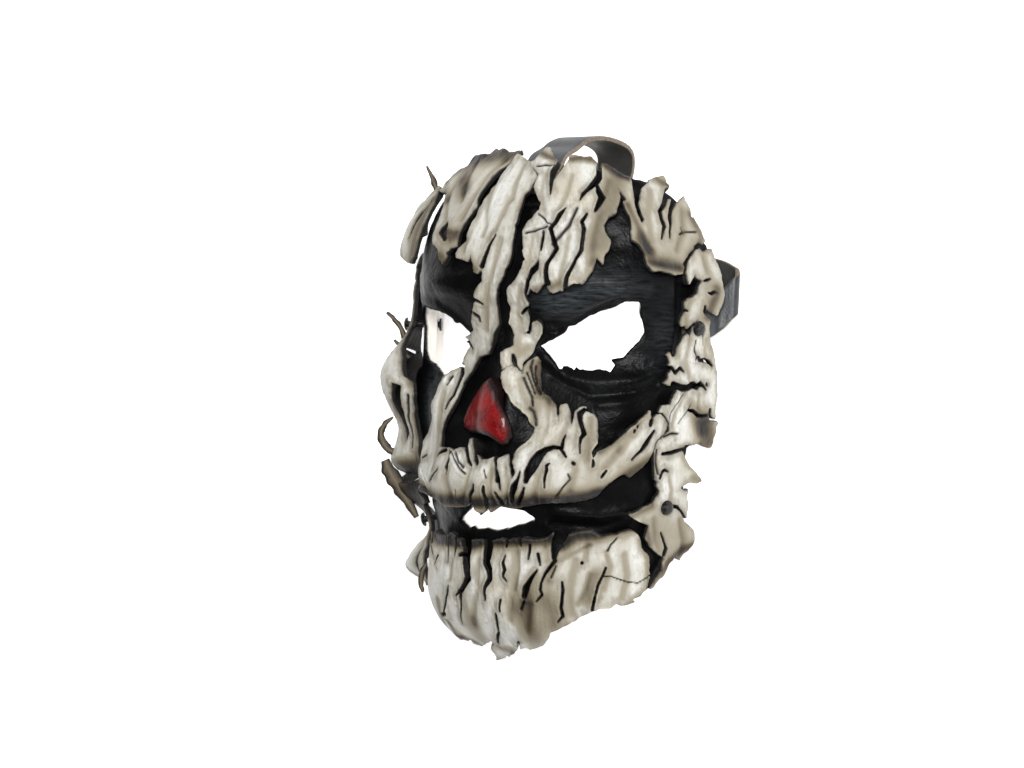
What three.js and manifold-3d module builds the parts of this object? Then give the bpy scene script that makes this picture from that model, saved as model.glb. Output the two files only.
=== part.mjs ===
// Torn-skin clown mask in moulded leather: a black base shell with a red nose, dressed in
// off-white torn leather panels, with three flat straps. It lies on its back, face up.
// Millimetres. +X is the wearer's left, +Y the top of the head, +Z up, out of the face.
import * as THREE from 'three';
import { mergeVertices } from 'three/addons/utils/BufferGeometryUtils.js';
import Module from 'manifold-3d';

const wasm = await Module();
wasm.setup();

// Driving dimensions
const ARC_RADIUS = 78;      // an angle round the face times this radius is u, in mm of arc
const AXIS_DEPTH = -75;     // the upright axis of the face lies this far behind the nose bridge
const ROUNDNESS = 2.3;      // exponent of the level cross-section, where 2 is an ellipse
const BASE_WALL = 3.0;      // black base leather
const SKIN_WALL = 2.6;      // off-white torn leather
const LAYER_GAP = 1.0;      // clearance between one layer and the next
const FACET = { base: 10, skin: 9.5, nose: 5 };   // spacing of the points on each surface
const STRAP_WIDTH = 19;
const STRAP_WALL = 2.2;
const CHIN_DROP = 6;        // degrees that the chin dips as the mask lies on jaw and straps
const LYING_HEIGHT = 63.4;   // the nose bridge, before the domes are added, above the floor
const MIDDLE_SHIFT = [2.1, 25.4];   // from under the nose bridge to the middle of the part
const TOUCH_GAP = 0.4;      // clearance between pieces that rest on each other
const HEAD_GAP = 0.75;      // clearance under a rivet head on curved leather
const RIVET = { head: 3.4, dome: 1.7, shank: 1.5, hole: 1.95, back: 3.0, backWall: 1.0 };
const PAD_RADIUS = 20;      // leather pad that joins the straps
const SIDES = { rivet: 12, hole: 10, pad: 28 };   // flats round each turned piece
const DRILL_LENGTH = 40;

// Shape of the face: level by level its depth on the centre line and its half width
const PROFILE = [[-150, -26], [-140, -12], [-132, -2], [-120, 4], [-105, 5], [-92, 2],
  [-80, 6], [-66, 7], [-50, 2], [-25, -2], [0, -2], [18, 3], [35, 4], [50, 1], [65, -7],
  [78, -18], [90, -34]];
const WIDTH = [[-150, 54], [-140, 58], [-120, 63], [-100, 67], [-80, 70], [-60, 72],
  [-40, 75], [-20, 77], [0, 79], [20, 79], [40, 76], [60, 69], [78, 57], [90, 46]];

// Swellings and hollows of the face: u, v, spread in u and v, height
const FEATURES = [
  ...[-1, 1].flatMap((side) => [
    [side * 38, 22, 24, 9, 4],
    [side * 40, -2, 22, 14, -6],
    [side * 50, -34, 20, 14, 3],
    [side * 58, -122, 16, 18, 4],
  ]),
  [0, -15, 9, 20, 8],
  [0, -40, 11, 14, 9],
  [-88, -38, 15, 27, 9],
];
// Hollows of the black base alone: round the nose, between the lips, in the brow gaps
const BASE_HOLLOWS = [
  [-16, -38, 18, 18, -5],
  [0, -84, 45, 8, -2.5],
  [48, 45, 10, 14, -2],
  [5, 40, 6, 25, -1.5],
];

function smooth(keys, at) {
  const last = keys.length - 1;
  const x = THREE.MathUtils.clamp(at, keys[0][0], keys[last][0]);
  let i = 0;
  while (i < last - 1 && x > keys[i + 1][0]) i += 1;
  const slope = (k) => {
    if (k === 0) return (keys[1][1] - keys[0][1]) / (keys[1][0] - keys[0][0]);
    if (k === last) return (keys[k][1] - keys[k - 1][1]) / (keys[k][0] - keys[k - 1][0]);
    const before = keys[k][0] - keys[k - 1][0];
    const after = keys[k + 1][0] - keys[k][0];
    const rise = before * before * keys[k + 1][1] - after * after * keys[k - 1][1];
    const middle = (after * after - before * before) * keys[k][1];
    return (rise + middle) / (before * after * (before + after));
  };
  const span = keys[i + 1][0] - keys[i][0];
  const t = (x - keys[i][0]) / span;
  const start = (2 * t ** 3 - 3 * t ** 2 + 1) * keys[i][1];
  const leave = (t ** 3 - 2 * t ** 2 + t) * span * slope(i);
  const end = (-2 * t ** 3 + 3 * t ** 2) * keys[i + 1][1];
  const arrive = (t ** 3 - t ** 2) * span * slope(i + 1);
  return start + leave + end + arrive;
}

function swell(list, u, v) {
  let sum = 0;
  for (const [cu, cv, su, sv, height] of list) {
    sum += height * Math.exp(-(((u - cu) / su) ** 2) - ((v - cv) / sv) ** 2);
  }
  return sum;
}

function plateau(x, low, high, fade) {
  const rise = THREE.MathUtils.smoothstep(x, low - fade, low);
  return rise * (1 - THREE.MathUtils.smoothstep(x, high, high + fade));
}

function facePoint(u, v) {
  const angle = u / ARC_RADIUS;
  const ahead = Math.abs(Math.cos(angle)) / (smooth(PROFILE, v) - AXIS_DEPTH);
  const aside = Math.abs(Math.sin(angle)) / smooth(WIDTH, v);
  const round = (ahead ** ROUNDNESS + aside ** ROUNDNESS) ** (-1 / ROUNDNESS);
  const r = round + swell(FEATURES, u, v);
  return new THREE.Vector3(r * Math.sin(angle), v, AXIS_DEPTH + r * Math.cos(angle));
}

function faceNormal(u, v) {
  const step = 0.5;
  const across = facePoint(u + step, v).sub(facePoint(u - step, v));
  const along = facePoint(u, v + step).sub(facePoint(u, v - step));
  return across.cross(along).normalize();
}

function onFace(u, v, offset) {
  return facePoint(u, v).addScaledVector(faceNormal(u, v), offset);
}

// Layer offsets from the face surface, which is the outside of the torn leather
const SKIN_INSIDE = -SKIN_WALL;
const BASE_OUTSIDE = SKIN_INSIDE - LAYER_GAP;
const STRAP_GAP = 1.4;      // clearance under and over a strap in its pocket
const STRAP_POCKET = STRAP_WALL + 2 * STRAP_GAP - LAYER_GAP;

function baseOutside(u, v) {
  const temple = plateau(Math.abs(u), 74, 130, 8) * plateau(v, -14, 24, 8);
  const crown = plateau(u, -8, 24, 8) * plateau(v, 64, 130, 8);
  return BASE_OUTSIDE + swell(BASE_HOLLOWS, u, v) - STRAP_POCKET * Math.max(temple, crown);
}

// Solids: every geometry below is one closed body
const CUT_CLEANUP = 0.02;   // shortest edge that is left where a cut meets a facet

function solidOf(geometry) {
  const bare = geometry.clone();
  bare.deleteAttribute('normal');
  bare.deleteAttribute('uv');
  const merged = mergeVertices(bare, 1e-4);
  return new wasm.Manifold(new wasm.Mesh({
    numProp: 3,
    vertProperties: new Float32Array(merged.attributes.position.array),
    triVerts: new Uint32Array(merged.index.array),
  }));
}

function geometryOf(solid) {
  const mesh = solid.simplify(CUT_CLEANUP).getMesh();
  const geometry = new THREE.BufferGeometry();
  const positions = new Float32Array(mesh.vertProperties);
  geometry.setAttribute('position', new THREE.BufferAttribute(positions, 3));
  geometry.setIndex(new THREE.BufferAttribute(new Uint32Array(mesh.triVerts), 1));
  return geometry;
}

function indexed(points, faces) {
  const geometry = new THREE.BufferGeometry();
  geometry.setAttribute('position', new THREE.Float32BufferAttribute(points, 3));
  geometry.setIndex(faces);
  return geometry;
}

// Points along a closed outline, with no edge longer than a facet
function subdivided(outline, facet) {
  const points = [];
  outline.forEach((start, k) => {
    const end = outline[(k + 1) % outline.length];
    const count = Math.ceil(Math.hypot(end[0] - start[0], end[1] - start[1]) / (facet * 1.2));
    for (let n = 0; n < count; n += 1) {
      points.push(new THREE.Vector2(
        THREE.MathUtils.lerp(start[0], end[0], n / count),
        THREE.MathUtils.lerp(start[1], end[1], n / count),
      ));
    }
  });
  return points;
}

function isInside(point, loop) {
  let inside = false;
  loop.forEach((a, k) => {
    const b = loop[(k + 1) % loop.length];
    const crosses = (a.y > point.y) !== (b.y > point.y);
    if (crosses && point.x < a.x + ((point.y - a.y) * (b.x - a.x)) / (b.y - a.y)) inside = !inside;
  });
  return inside;
}

function distanceToLoop(point, loop) {
  const nearest = new THREE.Vector3();
  const spot = new THREE.Vector3(point.x, point.y, 0);
  const distances = loop.map((a, k) => {
    const b = loop[(k + 1) % loop.length];
    const edge = new THREE.Line3(new THREE.Vector3(a.x, a.y, 0), new THREE.Vector3(b.x, b.y, 0));
    return edge.closestPointToPoint(spot, true, nearest).distanceTo(spot);
  });
  return Math.min(...distances);
}

// Staggered rows of points well inside an outline and clear of its holes. The rows lean by
// a hair, so that no point falls on a straight line between two others.
const NUDGE = 0.015;

function innerPoints(outer, holes, facet) {
  const area = new THREE.Box2().setFromPoints(outer);
  const rowHeight = facet * 0.87;
  const points = [];
  for (let row = Math.ceil(area.min.y / rowHeight); row * rowHeight < area.max.y; row += 1) {
    const stagger = row % 2 === 0 ? 0 : 0.5;
    for (let n = Math.floor(area.min.x / facet); n * facet < area.max.x; n += 1) {
      const across = (n + stagger) * facet + row * NUDGE;
      const point = new THREE.Vector2(across, row * rowHeight + n * NUDGE);
      const held = isInside(point, outer) && !holes.some((hole) => isInside(point, hole));
      const clear = [outer, ...holes].every((loop) => distanceToLoop(point, loop) > facet / 2);
      if (held && clear) points.push(point);
    }
  }
  return points;
}

const doubleArea = (a, b, c) => (b.x - a.x) * (c.y - a.y) - (b.y - a.y) * (c.x - a.x);

const holdsPoint = ([a, b, c], point) => (
  Math.min(doubleArea(a, b, point), doubleArea(b, c, point), doubleArea(c, a, point)) > 0
);

function cornerAngle(corner, a, b) {
  return a.clone().sub(corner).angleTo(b.clone().sub(corner));
}

// Swaps the diagonal of two neighbouring triangles wherever that makes them less narrow
function evenOut(points, faces) {
  const at = (k) => points[k];
  for (let swaps = 1; swaps > 0;) {
    swaps = 0;
    const owner = new Map();
    faces.forEach((corners, f) => corners.forEach((a, k) => {
      owner.set(`${a},${corners[(k + 1) % 3]}`, f);
    }));
    const used = new Set();
    for (let f = 0; f < faces.length; f += 1) {
      for (let k = 0; k < 3 && !used.has(f); k += 1) {
        const [a, b, c] = [faces[f][k], faces[f][(k + 1) % 3], faces[f][(k + 2) % 3]];
        const g = owner.get(`${b},${a}`);
        if (g !== undefined && !used.has(g)) {
          const d = faces[g].find((corner) => corner !== a && corner !== b);
          const wide = cornerAngle(at(c), at(a), at(b)) + cornerAngle(at(d), at(a), at(b));
          const halves = [doubleArea(at(a), at(d), at(c)), doubleArea(at(d), at(b), at(c))];
          const folds = Math.min(...halves) < 1e-3;
          if (wide > Math.PI + 1e-6 && !folds) {
            faces[f] = [a, d, c];
            faces[g] = [d, b, c];
            used.add(f).add(g);
            swaps += 1;
          }
        }
      }
    }
  }
}

// A piece of leather: an outline with holes in u and v, between two offsets from the face
function leatherPiece(outline, holes, inside, outside, facet) {
  const outer = subdivided(outline, facet);
  if (THREE.ShapeUtils.isClockWise(outer)) outer.reverse();
  const inner = holes.map((hole) => subdivided(hole, facet));
  inner.filter((loop) => !THREE.ShapeUtils.isClockWise(loop)).forEach((loop) => loop.reverse());
  const flat = [...outer, ...inner.flat()];
  const faces = THREE.ShapeUtils.triangulateShape(outer, inner);
  for (const point of innerPoints(outer, inner, facet)) {
    const f = faces.findIndex((corners) => holdsPoint(corners.map((k) => flat[k]), point));
    const [a, b, c] = faces[f];
    flat.push(point);
    const added = flat.length - 1;
    faces.splice(f, 1, [a, b, added], [b, c, added], [c, a, added]);
  }
  evenOut(flat, faces);
  const points = [outside, inside].flatMap((offset) => (
    flat.flatMap(({ x, y }) => onFace(x, y, offset(x, y)).toArray())
  ));
  const under = flat.length;
  const index = faces.flatMap(([a, b, c]) => [a, b, c, under + a, under + c, under + b]);
  let first = 0;
  for (const loop of [outer, ...inner]) {
    loop.forEach((point, k) => {
      const a = first + k;
      const b = first + ((k + 1) % loop.length);
      index.push(a, under + a, under + b, a, under + b, b);
    });
    first += loop.length;
  }
  return solidOf(indexed(points, index));
}

// A cutter with an outline in u and v, rolled round the axis of the face
const CUTTER_REACH = [22, 150];

function rolledCutter(outline) {
  const shape = new THREE.Shape(outline.map(([u, v]) => new THREE.Vector2(u, v)));
  const geometry = new THREE.ExtrudeGeometry(shape, { depth: 1, bevelEnabled: false });
  const position = geometry.attributes.position;
  for (let k = 0; k < position.count; k += 1) {
    const angle = position.getX(k) / ARC_RADIUS;
    const r = THREE.MathUtils.lerp(CUTTER_REACH[0], CUTTER_REACH[1], position.getZ(k));
    position.setXYZ(k, r * Math.sin(angle), position.getY(k), AXIS_DEPTH + r * Math.cos(angle));
  }
  return solidOf(geometry);
}

// A crack is a centre line with a width at each end, widest at the first point
function crackOutline(line, widest, narrowest) {
  const left = [];
  const right = [];
  line.forEach(([u, v], k) => {
    const before = line[Math.max(k - 1, 0)];
    const after = line[Math.min(k + 1, line.length - 1)];
    const length = Math.hypot(after[0] - before[0], after[1] - before[1]);
    const half = THREE.MathUtils.lerp(widest, narrowest, k / (line.length - 1)) / 2;
    const du = (-(after[1] - before[1]) / length) * half;
    const dv = ((after[0] - before[0]) / length) * half;
    left.push([u + du, v + dv]);
    right.unshift([u - du, v - dv]);
  });
  return [...left, ...right];
}

const mirrored = (outline) => outline.map(([u, v]) => [-u, v]);

// Materials
const leather = (color, roughness) => new THREE.MeshStandardMaterial({
  color, roughness, metalness: 0,
});
const BONE = leather(0xd9d3c4, 0.55);
const BLACK = leather(0x15171a, 0.35);
const RED = leather(0x8a0d10, 0.22);
const STRAP = leather(0x3c4044, 0.5);
const RIVET_METAL = new THREE.MeshStandardMaterial({
  color: 0x0d0d0e, roughness: 0.4, metalness: 0.6,
});

const face = new THREE.Group();
face.rotation.x = THREE.MathUtils.degToRad(CHIN_DROP);
face.position.set(0, 0, LYING_HEIGHT);
const group = new THREE.Group();
group.add(face);
group.position.set(...MIDDLE_SHIFT, 0);

function addPiece(name, geometry, material) {
  const mesh = new THREE.Mesh(geometry, material);
  mesh.name = name;
  face.add(mesh);
  return mesh;
}

// Rivets: one turned solid with a domed head, a shank and a flat back
const RIVET_PLACES = {
  rivet_upper_left: [88, 3, 'skin_side_left'],
  rivet_upper_right: [-88, 3, 'skin_side_right'],
  rivet_lower_left: [74.4, -75.7, 'skin_jaw_left'],
  rivet_lower_right: [-79, -88, 'skin_jaw_right'],
};

function rivetGeometry(grip) {
  const under = -grip - RIVET.backWall;
  const profile = [[0, under], [RIVET.back, under], [RIVET.back, -grip], [RIVET.shank, -grip],
    [RIVET.shank, 0], [RIVET.head, 0], [RIVET.head * 0.85, RIVET.dome * 0.6],
    [RIVET.head * 0.5, RIVET.dome * 0.93], [0, RIVET.dome]];
  const points = profile.map(([r, height]) => new THREE.Vector2(r, height));
  return new THREE.LatheGeometry(points, SIDES.rivet);
}

function standOn(geometry, u, v, offset) {
  const turn = new THREE.Quaternion();
  turn.setFromUnitVectors(new THREE.Vector3(0, 1, 0), faceNormal(u, v));
  geometry.applyQuaternion(turn);
  return geometry.translate(...onFace(u, v, offset).toArray());
}

function rivetHole(u, v) {
  const drill = new THREE.CylinderGeometry(RIVET.hole, RIVET.hole, DRILL_LENGTH, SIDES.hole);
  return solidOf(standOn(drill, u, v, 0));
}

const rivetHoles = Object.values(RIVET_PLACES).map(([u, v]) => rivetHole(u, v));

// Base shell
const BASE_RIM = [[20, 81.5], [36, 78], [50, 74], [61, 71.5], [70, 69.5], [80, 65.5], [86, 61],
  [92, 54], [97, 45], [101, 36], [103, 28], [103.5, 14], [101, 2], [101, -10], [103, -24],
  [104, -38], [97, -47], [90, -51], [88, -62], [89, -80], [88, -94], [80, -105], [68, -113],
  [54, -118], [38, -123], [22, -131], [8, -137]];
const LEFT_EYE_OUTLINE = [[16, -4.5], [20, -2], [27, 2], [32, 4.5], [40, 9.5], [53, 14.3],
  [60.5, 13], [61, 4], [61.5, -1], [55.5, -6], [53.5, -10], [50, -12.5], [48.5, -16],
  [37.5, -15.3], [25, -15.5], [20, -8.3]];
const RIGHT_EYE_OUTLINE = [[-70, 4], [-67, 9.5], [-56, 9], [-45, 7], [-38, 2], [-33, -1.2],
  [-29.5, -5.5], [-32, -11], [-37, -16], [-49.5, -18.6], [-60, -11], [-67, -4]];
const MOUTH_OUTLINE = [[-22, -84], [-17, -79], [-14, -76.5], [-10, -80], [-7, -77], [-5, -79.5],
  [-2, -76.5], [4, -76], [10, -78.5], [15, -82.5], [6, -86], [-5, -88], [-13, -86.5]];

const baseOutline = [...BASE_RIM, ...mirrored(BASE_RIM).reverse()];
let baseSolid = leatherPiece(
  baseOutline,
  [LEFT_EYE_OUTLINE, RIGHT_EYE_OUTLINE, MOUTH_OUTLINE],
  (u, v) => baseOutside(u, v) - BASE_WALL,
  baseOutside,
  FACET.base,
);
for (const hole of rivetHoles) baseSolid = baseSolid.subtract(hole);
addPiece('base_shell', geometryOf(baseSolid), BLACK);

// Nose: a domed leather cap in the hollow
const NOSE_OUTLINE = [[-8, -19], [-3, -21], [2, -27], [6, -34], [8, -43], [3, -49], [-4, -49.5],
  [-12, -46.5], [-22, -47], [-25, -43], [-21, -33], [-14, -24]];
const NOSE_DOMES = [[-8, -40, 12, 9, 4], [-6, -28, 7, 12, 2.6]];
const NOSE_WALL = 2.2;
const NOSE_GAP = 2;
const noseUnder = (u, v) => baseOutside(u, v) + NOSE_GAP;
const noseSolid = leatherPiece(
  NOSE_OUTLINE,
  [],
  noseUnder,
  (u, v) => noseUnder(u, v) + NOSE_WALL + swell(NOSE_DOMES, u, v),
  FACET.nose,
);
addPiece('nose', geometryOf(noseSolid), RED);

// Torn leather panels: outline, cracks (centre line, widest, narrowest) and raised places
const SKINS = {
  skin_forehead_left: {
    outline: [[-62, 68], [-52, 76], [-45, 81], [-32, 84], [-10, 83], [-14, 77], [-21, 68],
      [-21, 51], [-26, 43], [-31, 39], [-36, 32], [-39, 39], [-44, 41], [-46, 55], [-52, 65]],
    cracks: [],
    raised: [[-40, 42, 8, 8, 2.5], [-18, 66, 6, 12, 1.5]],
  },
  skin_forehead_middle: {
    outline: [[-9, 83], [2, 82], [8, 76], [9, 63], [6, 59], [6, 48], [4, 39], [0, 25],
      [-3, 12], [-5, 5], [-8, 0], [-9, -5], [-15, -10], [-24, -18], [-31, -30], [-37, -42],
      [-38, -38], [-36, -27], [-34, -20], [-34, -13], [-27, -5], [-31, -3], [-26, 0],
      [-19, 11], [-16, 17], [-12, 23], [-11, 34], [-14, 27], [-17, 34], [-20, 32],
      [-25, 37], [-23, 43], [-18, 51], [-18, 67], [-11, 77]],
    cracks: [[[[-12, 31], [-9, 37], [-6, 41], [-3, 45]], 2, 0.7]],
    raised: [[-20, 37, 8, 8, 2], [-2, 50, 6, 20, 1.5], [-22, 3, 8, 8, 2]],
  },
  skin_forehead_right: {
    outline: [[12, 84], [18, 82], [24, 78], [40, 79], [45, 75], [50, 73], [56, 70], [61, 69],
      [61, 62], [62, 51], [57, 51], [54, 58], [53, 64], [51, 55], [46, 50],
      [45, 46], [48, 39], [45, 36], [40, 37], [42, 33], [38, 25], [32, 22], [23, 18],
      [20, 23], [16, 18], [12, 19], [10, 18], [13, 12], [11, 2], [16, 6],
      [17, 2], [13, -7], [9, -10], [-1, -10], [2, -4], [3, 1], [2, 6], [3, 12],
      [1, 17], [8, 25], [11, 34], [9, 43], [14, 52], [15, 58], [11, 64], [10, 77]],
    cracks: [
      [[[24, 79], [22, 73], [19, 69], [20, 61]], 3, 0.6],
      [[[44, 76], [44, 70], [40, 65], [35, 60]], 3, 0.6],
      [[[44, 64], [45, 60], [42, 55]], 2, 0.7],
      [[[29, 18], [31, 28], [33, 35], [37, 45], [37, 53]], 1.8, 0.7],
      [[[12, 19], [12, 26], [17, 33], [19, 44]], 2.4, 0.7],
    ],
    raised: [[34, 26, 12, 7, 2.5], [48, 52, 5, 8, 2], [14, 20, 8, 8, 1.2], [34, 74, 9, 6, 1.5]],
  },
  skin_temple_left: {
    outline: [[70, 69], [74, 71], [79, 70], [83, 64], [82, 59], [87, 61], [91, 57],
      [94, 52], [97, 44], [93, 40], [90, 41], [88, 37], [82, 32], [81, 27],
      [73, 27], [67, 28], [63, 31], [61, 37], [57, 42], [56, 50],
      [63, 49], [64, 56], [67, 62]],
    cracks: [
      [[[80, 63], [76, 58], [73, 52], [72, 43]], 2, 0.6],
      [[[84, 62], [79, 59], [76, 52], [75, 43]], 2, 0.6],
    ],
    raised: [[68, 30, 8, 7, 3], [60, 46, 4, 8, 2], [80, 66, 8, 8, 1.5]],
  },
  skin_side_left: {
    outline: [[91, 37], [99, 38], [100, 35], [103, 31], [104, 24], [104, 17],
      [102, 13], [98, 9], [96, 0], [98, -10], [102, -20], [105, -27], [104, -34],
      [106, -38], [104, -44], [101, -51], [96, -49], [83, -49], [80, -50], [72, -51],
      [72, -48], [75, -44], [75, -40], [72, -35], [68, -33], [71, -30], [76, -30],
      [79, -23], [77, -21], [73, -21], [74, -17], [73, -9], [77, -10], [81, -3],
      [85, 3], [80, 5], [79, 9], [81, 15], [89, 20], [90, 23], [83, 30]],
    cracks: [
      [[[76, -22], [82, -24], [86, -22], [91, -22], [96, -24]], 3.2, 0.8],
      [[[99, -38], [96, -35], [91, -35], [85, -33]], 2, 0.8],
      [[[81, 3], [85, 5], [89, 9]], 2, 0.7],
    ],
    raised: [[104, -42, 9, 8, 2.5], [76, -26, 6, 8, 2], [80, 8, 4, 8, 1.5], [103, 22, 6, 12, 1.5]],
  },
  skin_muzzle: {
    outline: [[2, -14], [9, -12], [14, -13], [18, -21], [22, -28], [29, -30],
      [31, -39], [37, -31], [37, -35], [40, -34], [43, -39], [43, -46], [40, -50],
      [40, -58], [44, -52], [50, -47], [60, -37], [64, -32], [66, -34], [64, -39],
      [67, -40], [68, -35], [72, -36], [74, -40], [74, -44], [68, -49],
      [65, -54], [56, -62], [50, -61], [42, -70], [30, -73], [21, -72],
      [7, -76], [-2, -75], [-6, -78], [-8, -75], [-10, -80], [-13, -75], [-30, -75],
      [-45, -74], [-57, -71], [-63, -66], [-62, -59], [-54, -49], [-46, -39], [-43, -28],
      [-45, -20], [-40, -17], [-35, -18], [-37, -27], [-39, -38], [-38, -45],
      [-41, -51], [-26, -52], [-20, -49], [-17, -49], [-16, -55], [-12, -59],
      [-13, -55], [-2, -53], [1, -55], [7, -51], [13, -44], [16, -39], [10, -35],
      [6, -29], [2, -21]],
    cracks: [
      [[[-2, -51], [-2, -59], [-2, -64], [0, -68]], 2.6, 1],
      [[[5, -51], [5, -56], [6, -62]], 1.8, 0.7],
      [[[-8, -77], [-8, -70], [-7, -66]], 1.8, 0.7],
      [[[67, -41], [64, -46], [60, -52]], 2.2, 0.7],
      [[[31, -37], [35, -40], [37, -44], [34, -48], [34, -52]], 2.4, 0.7],
      [[[6, -78], [5, -70], [9, -62]], 2.6, 0.7],
    ],
    holes: [[[20, -50], [15, -59], [13, -65], [11, -60], [10, -58], [16, -52]]],
    raised: [[-40, -30, 6, 14, 2], [56, -52, 10, 8, 2.5], [41, -41, 5, 8, 2.5],
      [-59, -64, 8, 8, 2], [20, -66, 18, 6, 1.5], [-20, -66, 18, 6, 1.5]],
  },
  skin_jaw_left: {
    outline: [[72, -52], [80, -52], [83, -51], [85, -55], [97, -65], [94, -67],
      [85, -65], [84, -68], [88, -68], [90, -74], [89, -86], [94, -86],
      [97, -89], [96, -93], [92, -99], [87, -103], [84, -102], [79, -106],
      [76, -111], [68, -119], [70, -113], [75, -105], [73, -98], [68, -93],
      [65, -88], [67, -81], [58, -81], [55, -78], [60, -75], [67, -73],
      [70, -67], [68, -60], [69, -53]],
    cracks: [],
    raised: [[94, -62, 6, 6, 4], [95, -92, 8, 8, 4.5], [72, -114, 8, 8, 3]],
  },
  skin_chin: {
    outline: [[-63, -92], [-47, -92.5], [-30, -90], [-18, -91], [-5, -91.5], [12, -90.5],
      [20, -87.5], [24, -85.5], [22.5, -92], [24, -99], [29, -89.5], [33, -86],
      [40, -84], [44, -87.5], [60, -85], [62.5, -88], [64, -95], [67, -101],
      [67, -108], [61.5, -118.5], [46, -119.5], [36.5, -122], [27, -128], [20, -132],
      [17, -136.5], [2, -141], [0.5, -135.5], [-4, -140], [-8, -144], [-23, -148],
      [-26, -146.5], [-17, -140], [-37, -143.5], [-47, -143], [-50, -137], [-57, -133],
      [-62, -125], [-66, -115], [-67, -103]],
    cracks: [
      [[[-21.5, -89], [-21, -98.5], [-17.5, -104], [-18.5, -109], [-23, -114.5], [-28.5, -129]],
        5, 1],
      [[[-8.5, -90], [-8.5, -101], [-6, -105.5], [-6.5, -110], [-9.5, -117]], 3.6, 0.8],
      [[[-15, -140.5], [-6, -131], [-4.5, -123.5]], 1.8, 0.8],
      [[[-44.5, -128.5], [-36, -119], [-31, -113]], 1.8, 0.7],
      [[[11, -113.5], [12, -109], [16.5, -103]], 3, 0.8],
    ],
    raised: [[-30, -92, 12, 5, 1.5], [44, -88, 14, 5, 2], [58, -112, 8, 10, 2],
      [10, -134, 9, 7, 2.5], [-45, -138, 9, 7, 2]],
  },
};

// The wearer's right side, where the panels flare outwards
SKINS.skin_temple_right = {
  outline: [[-62, 63], [-66, 66], [-76, 67], [-85, 61], [-93, 52], [-96, 45], [-92, 42],
    [-85, 37], [-79, 34], [-74, 32], [-69, 31], [-66, 34], [-65, 41], [-63, 52]],
  cracks: [[[[-72, 69], [-73, 58], [-75, 46]], 2, 0.7]],
  raised: [[-84, 36, 14, 16, 8], [-80, 54, 13, 12, 4]],
};
SKINS.skin_side_right = {
  outline: [[-91, 36], [-99, 38], [-103, 30], [-104, 22], [-103, 13], [-98, 9], [-96, 0],
    [-98, -10], [-102, -20], [-104, -34], [-104, -44], [-97, -49], [-92, -58], [-84, -66],
    [-74, -67], [-67, -64], [-68, -52], [-70, -44], [-70, -33], [-70, -24],
    [-74, -22], [-77, -12], [-82, -3], [-80, 8], [-84, 17], [-90, 23], [-84, 30]],
  cracks: [],
  holes: [[[-75, -26], [-78, -25], [-80, -33], [-79, -43], [-77, -51], [-75, -47], [-76, -35]]],
  raised: [[-84, -22, 11, 19, 13], [-87, -58, 13, 9, 12]],
};
SKINS.skin_jaw_right = {
  outline: mirrored([[76, -70], [84, -68], [94, -61], [99, -67], [95, -76], [90, -80],
    [89, -86], [95, -89], [98, -97], [96, -106], [90, -112], [84, -111], [79, -116],
    [71, -120], [70, -112], [72, -103], [69, -96], [66, -90], [67, -80], [60, -79],
    [66, -74], [70, -69]]),
  cracks: [],
  raised: [[-86, -72, 13, 10, 15], [-86, -109, 13, 11, 18]],
};

for (const [name, skin] of Object.entries(SKINS)) {
  const outside = (u, v) => swell(skin.raised, u, v);
  const inside = (u, v) => outside(u, v) - SKIN_WALL;
  let solid = leatherPiece(skin.outline, skin.holes ?? [], inside, outside, FACET.skin);
  for (const [line, widest, narrowest] of skin.cracks) {
    solid = solid.subtract(rolledCutter(crackOutline(line, widest, narrowest)));
  }
  for (const hole of rivetHoles) solid = solid.subtract(hole);
  addPiece(name, geometryOf(solid), BONE);
}

// Straps: flat leather ribbons, lofted through stations with a middle and a width direction
// that is a unit vector
face.updateMatrix();
const toRow = (point) => point.clone().applyMatrix4(face.matrix);
const pocketMiddle = (u, v) => toRow(
  onFace(u, v, baseOutside(u, v) + STRAP_GAP + STRAP_WALL / 2),
);
const FLOOR_STRAP = STRAP_WALL / 2;
const PAD_STRAP = STRAP_WALL + TOUCH_GAP + STRAP_WALL / 2;

function ribbon(stations) {
  const points = [];
  stations.forEach(({ middle, across }, k) => {
    const before = stations[Math.max(k - 1, 0)].middle;
    const after = stations[Math.min(k + 1, stations.length - 1)].middle;
    const up = after.clone().sub(before).cross(across).normalize();
    for (const [side, level] of [[-1, -1], [1, -1], [1, 1], [-1, 1]]) {
      points.push(...middle.clone().addScaledVector(across, (side * STRAP_WIDTH) / 2)
        .addScaledVector(up, (level * STRAP_WALL) / 2).toArray());
    }
  });
  const faces = [0, 2, 1, 0, 3, 2];
  for (let k = 0; k < stations.length - 1; k += 1) {
    for (let c = 0; c < 4; c += 1) {
      const a = 4 * k + c;
      const b = 4 * k + ((c + 1) % 4);
      faces.push(a, b, a + 4, b, b + 4, a + 4);
    }
  }
  const end = 4 * (stations.length - 1);
  faces.push(end, end + 1, end + 2, end, end + 2, end + 3);
  return solidOf(indexed(points, faces));
}

function addRowPiece(name, geometry, material) {
  const mesh = new THREE.Mesh(geometry, material);
  mesh.name = name;
  group.add(mesh);
}

// The pad lies on the floor behind the brow. Every strap runs straight at its centre, climbs
// onto it and stops short of the middle. Ramp stations: distance from the centre, and height.
const PAD_CENTRE = [14, 40];
const PAD_RAMP = [[PAD_RADIUS + 9, FLOOR_STRAP], [PAD_RADIUS + 6, 1.8], [PAD_RADIUS + 1.6, 4.15],
  [PAD_RADIUS - 2, PAD_STRAP + 0.1], [10.8, PAD_STRAP]];
const PAD_RIVET_PLACE = 15.5;
const PAD_RIVET_FOOT = 0.5;   // end of a pad rivet's shank, above the floor

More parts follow.
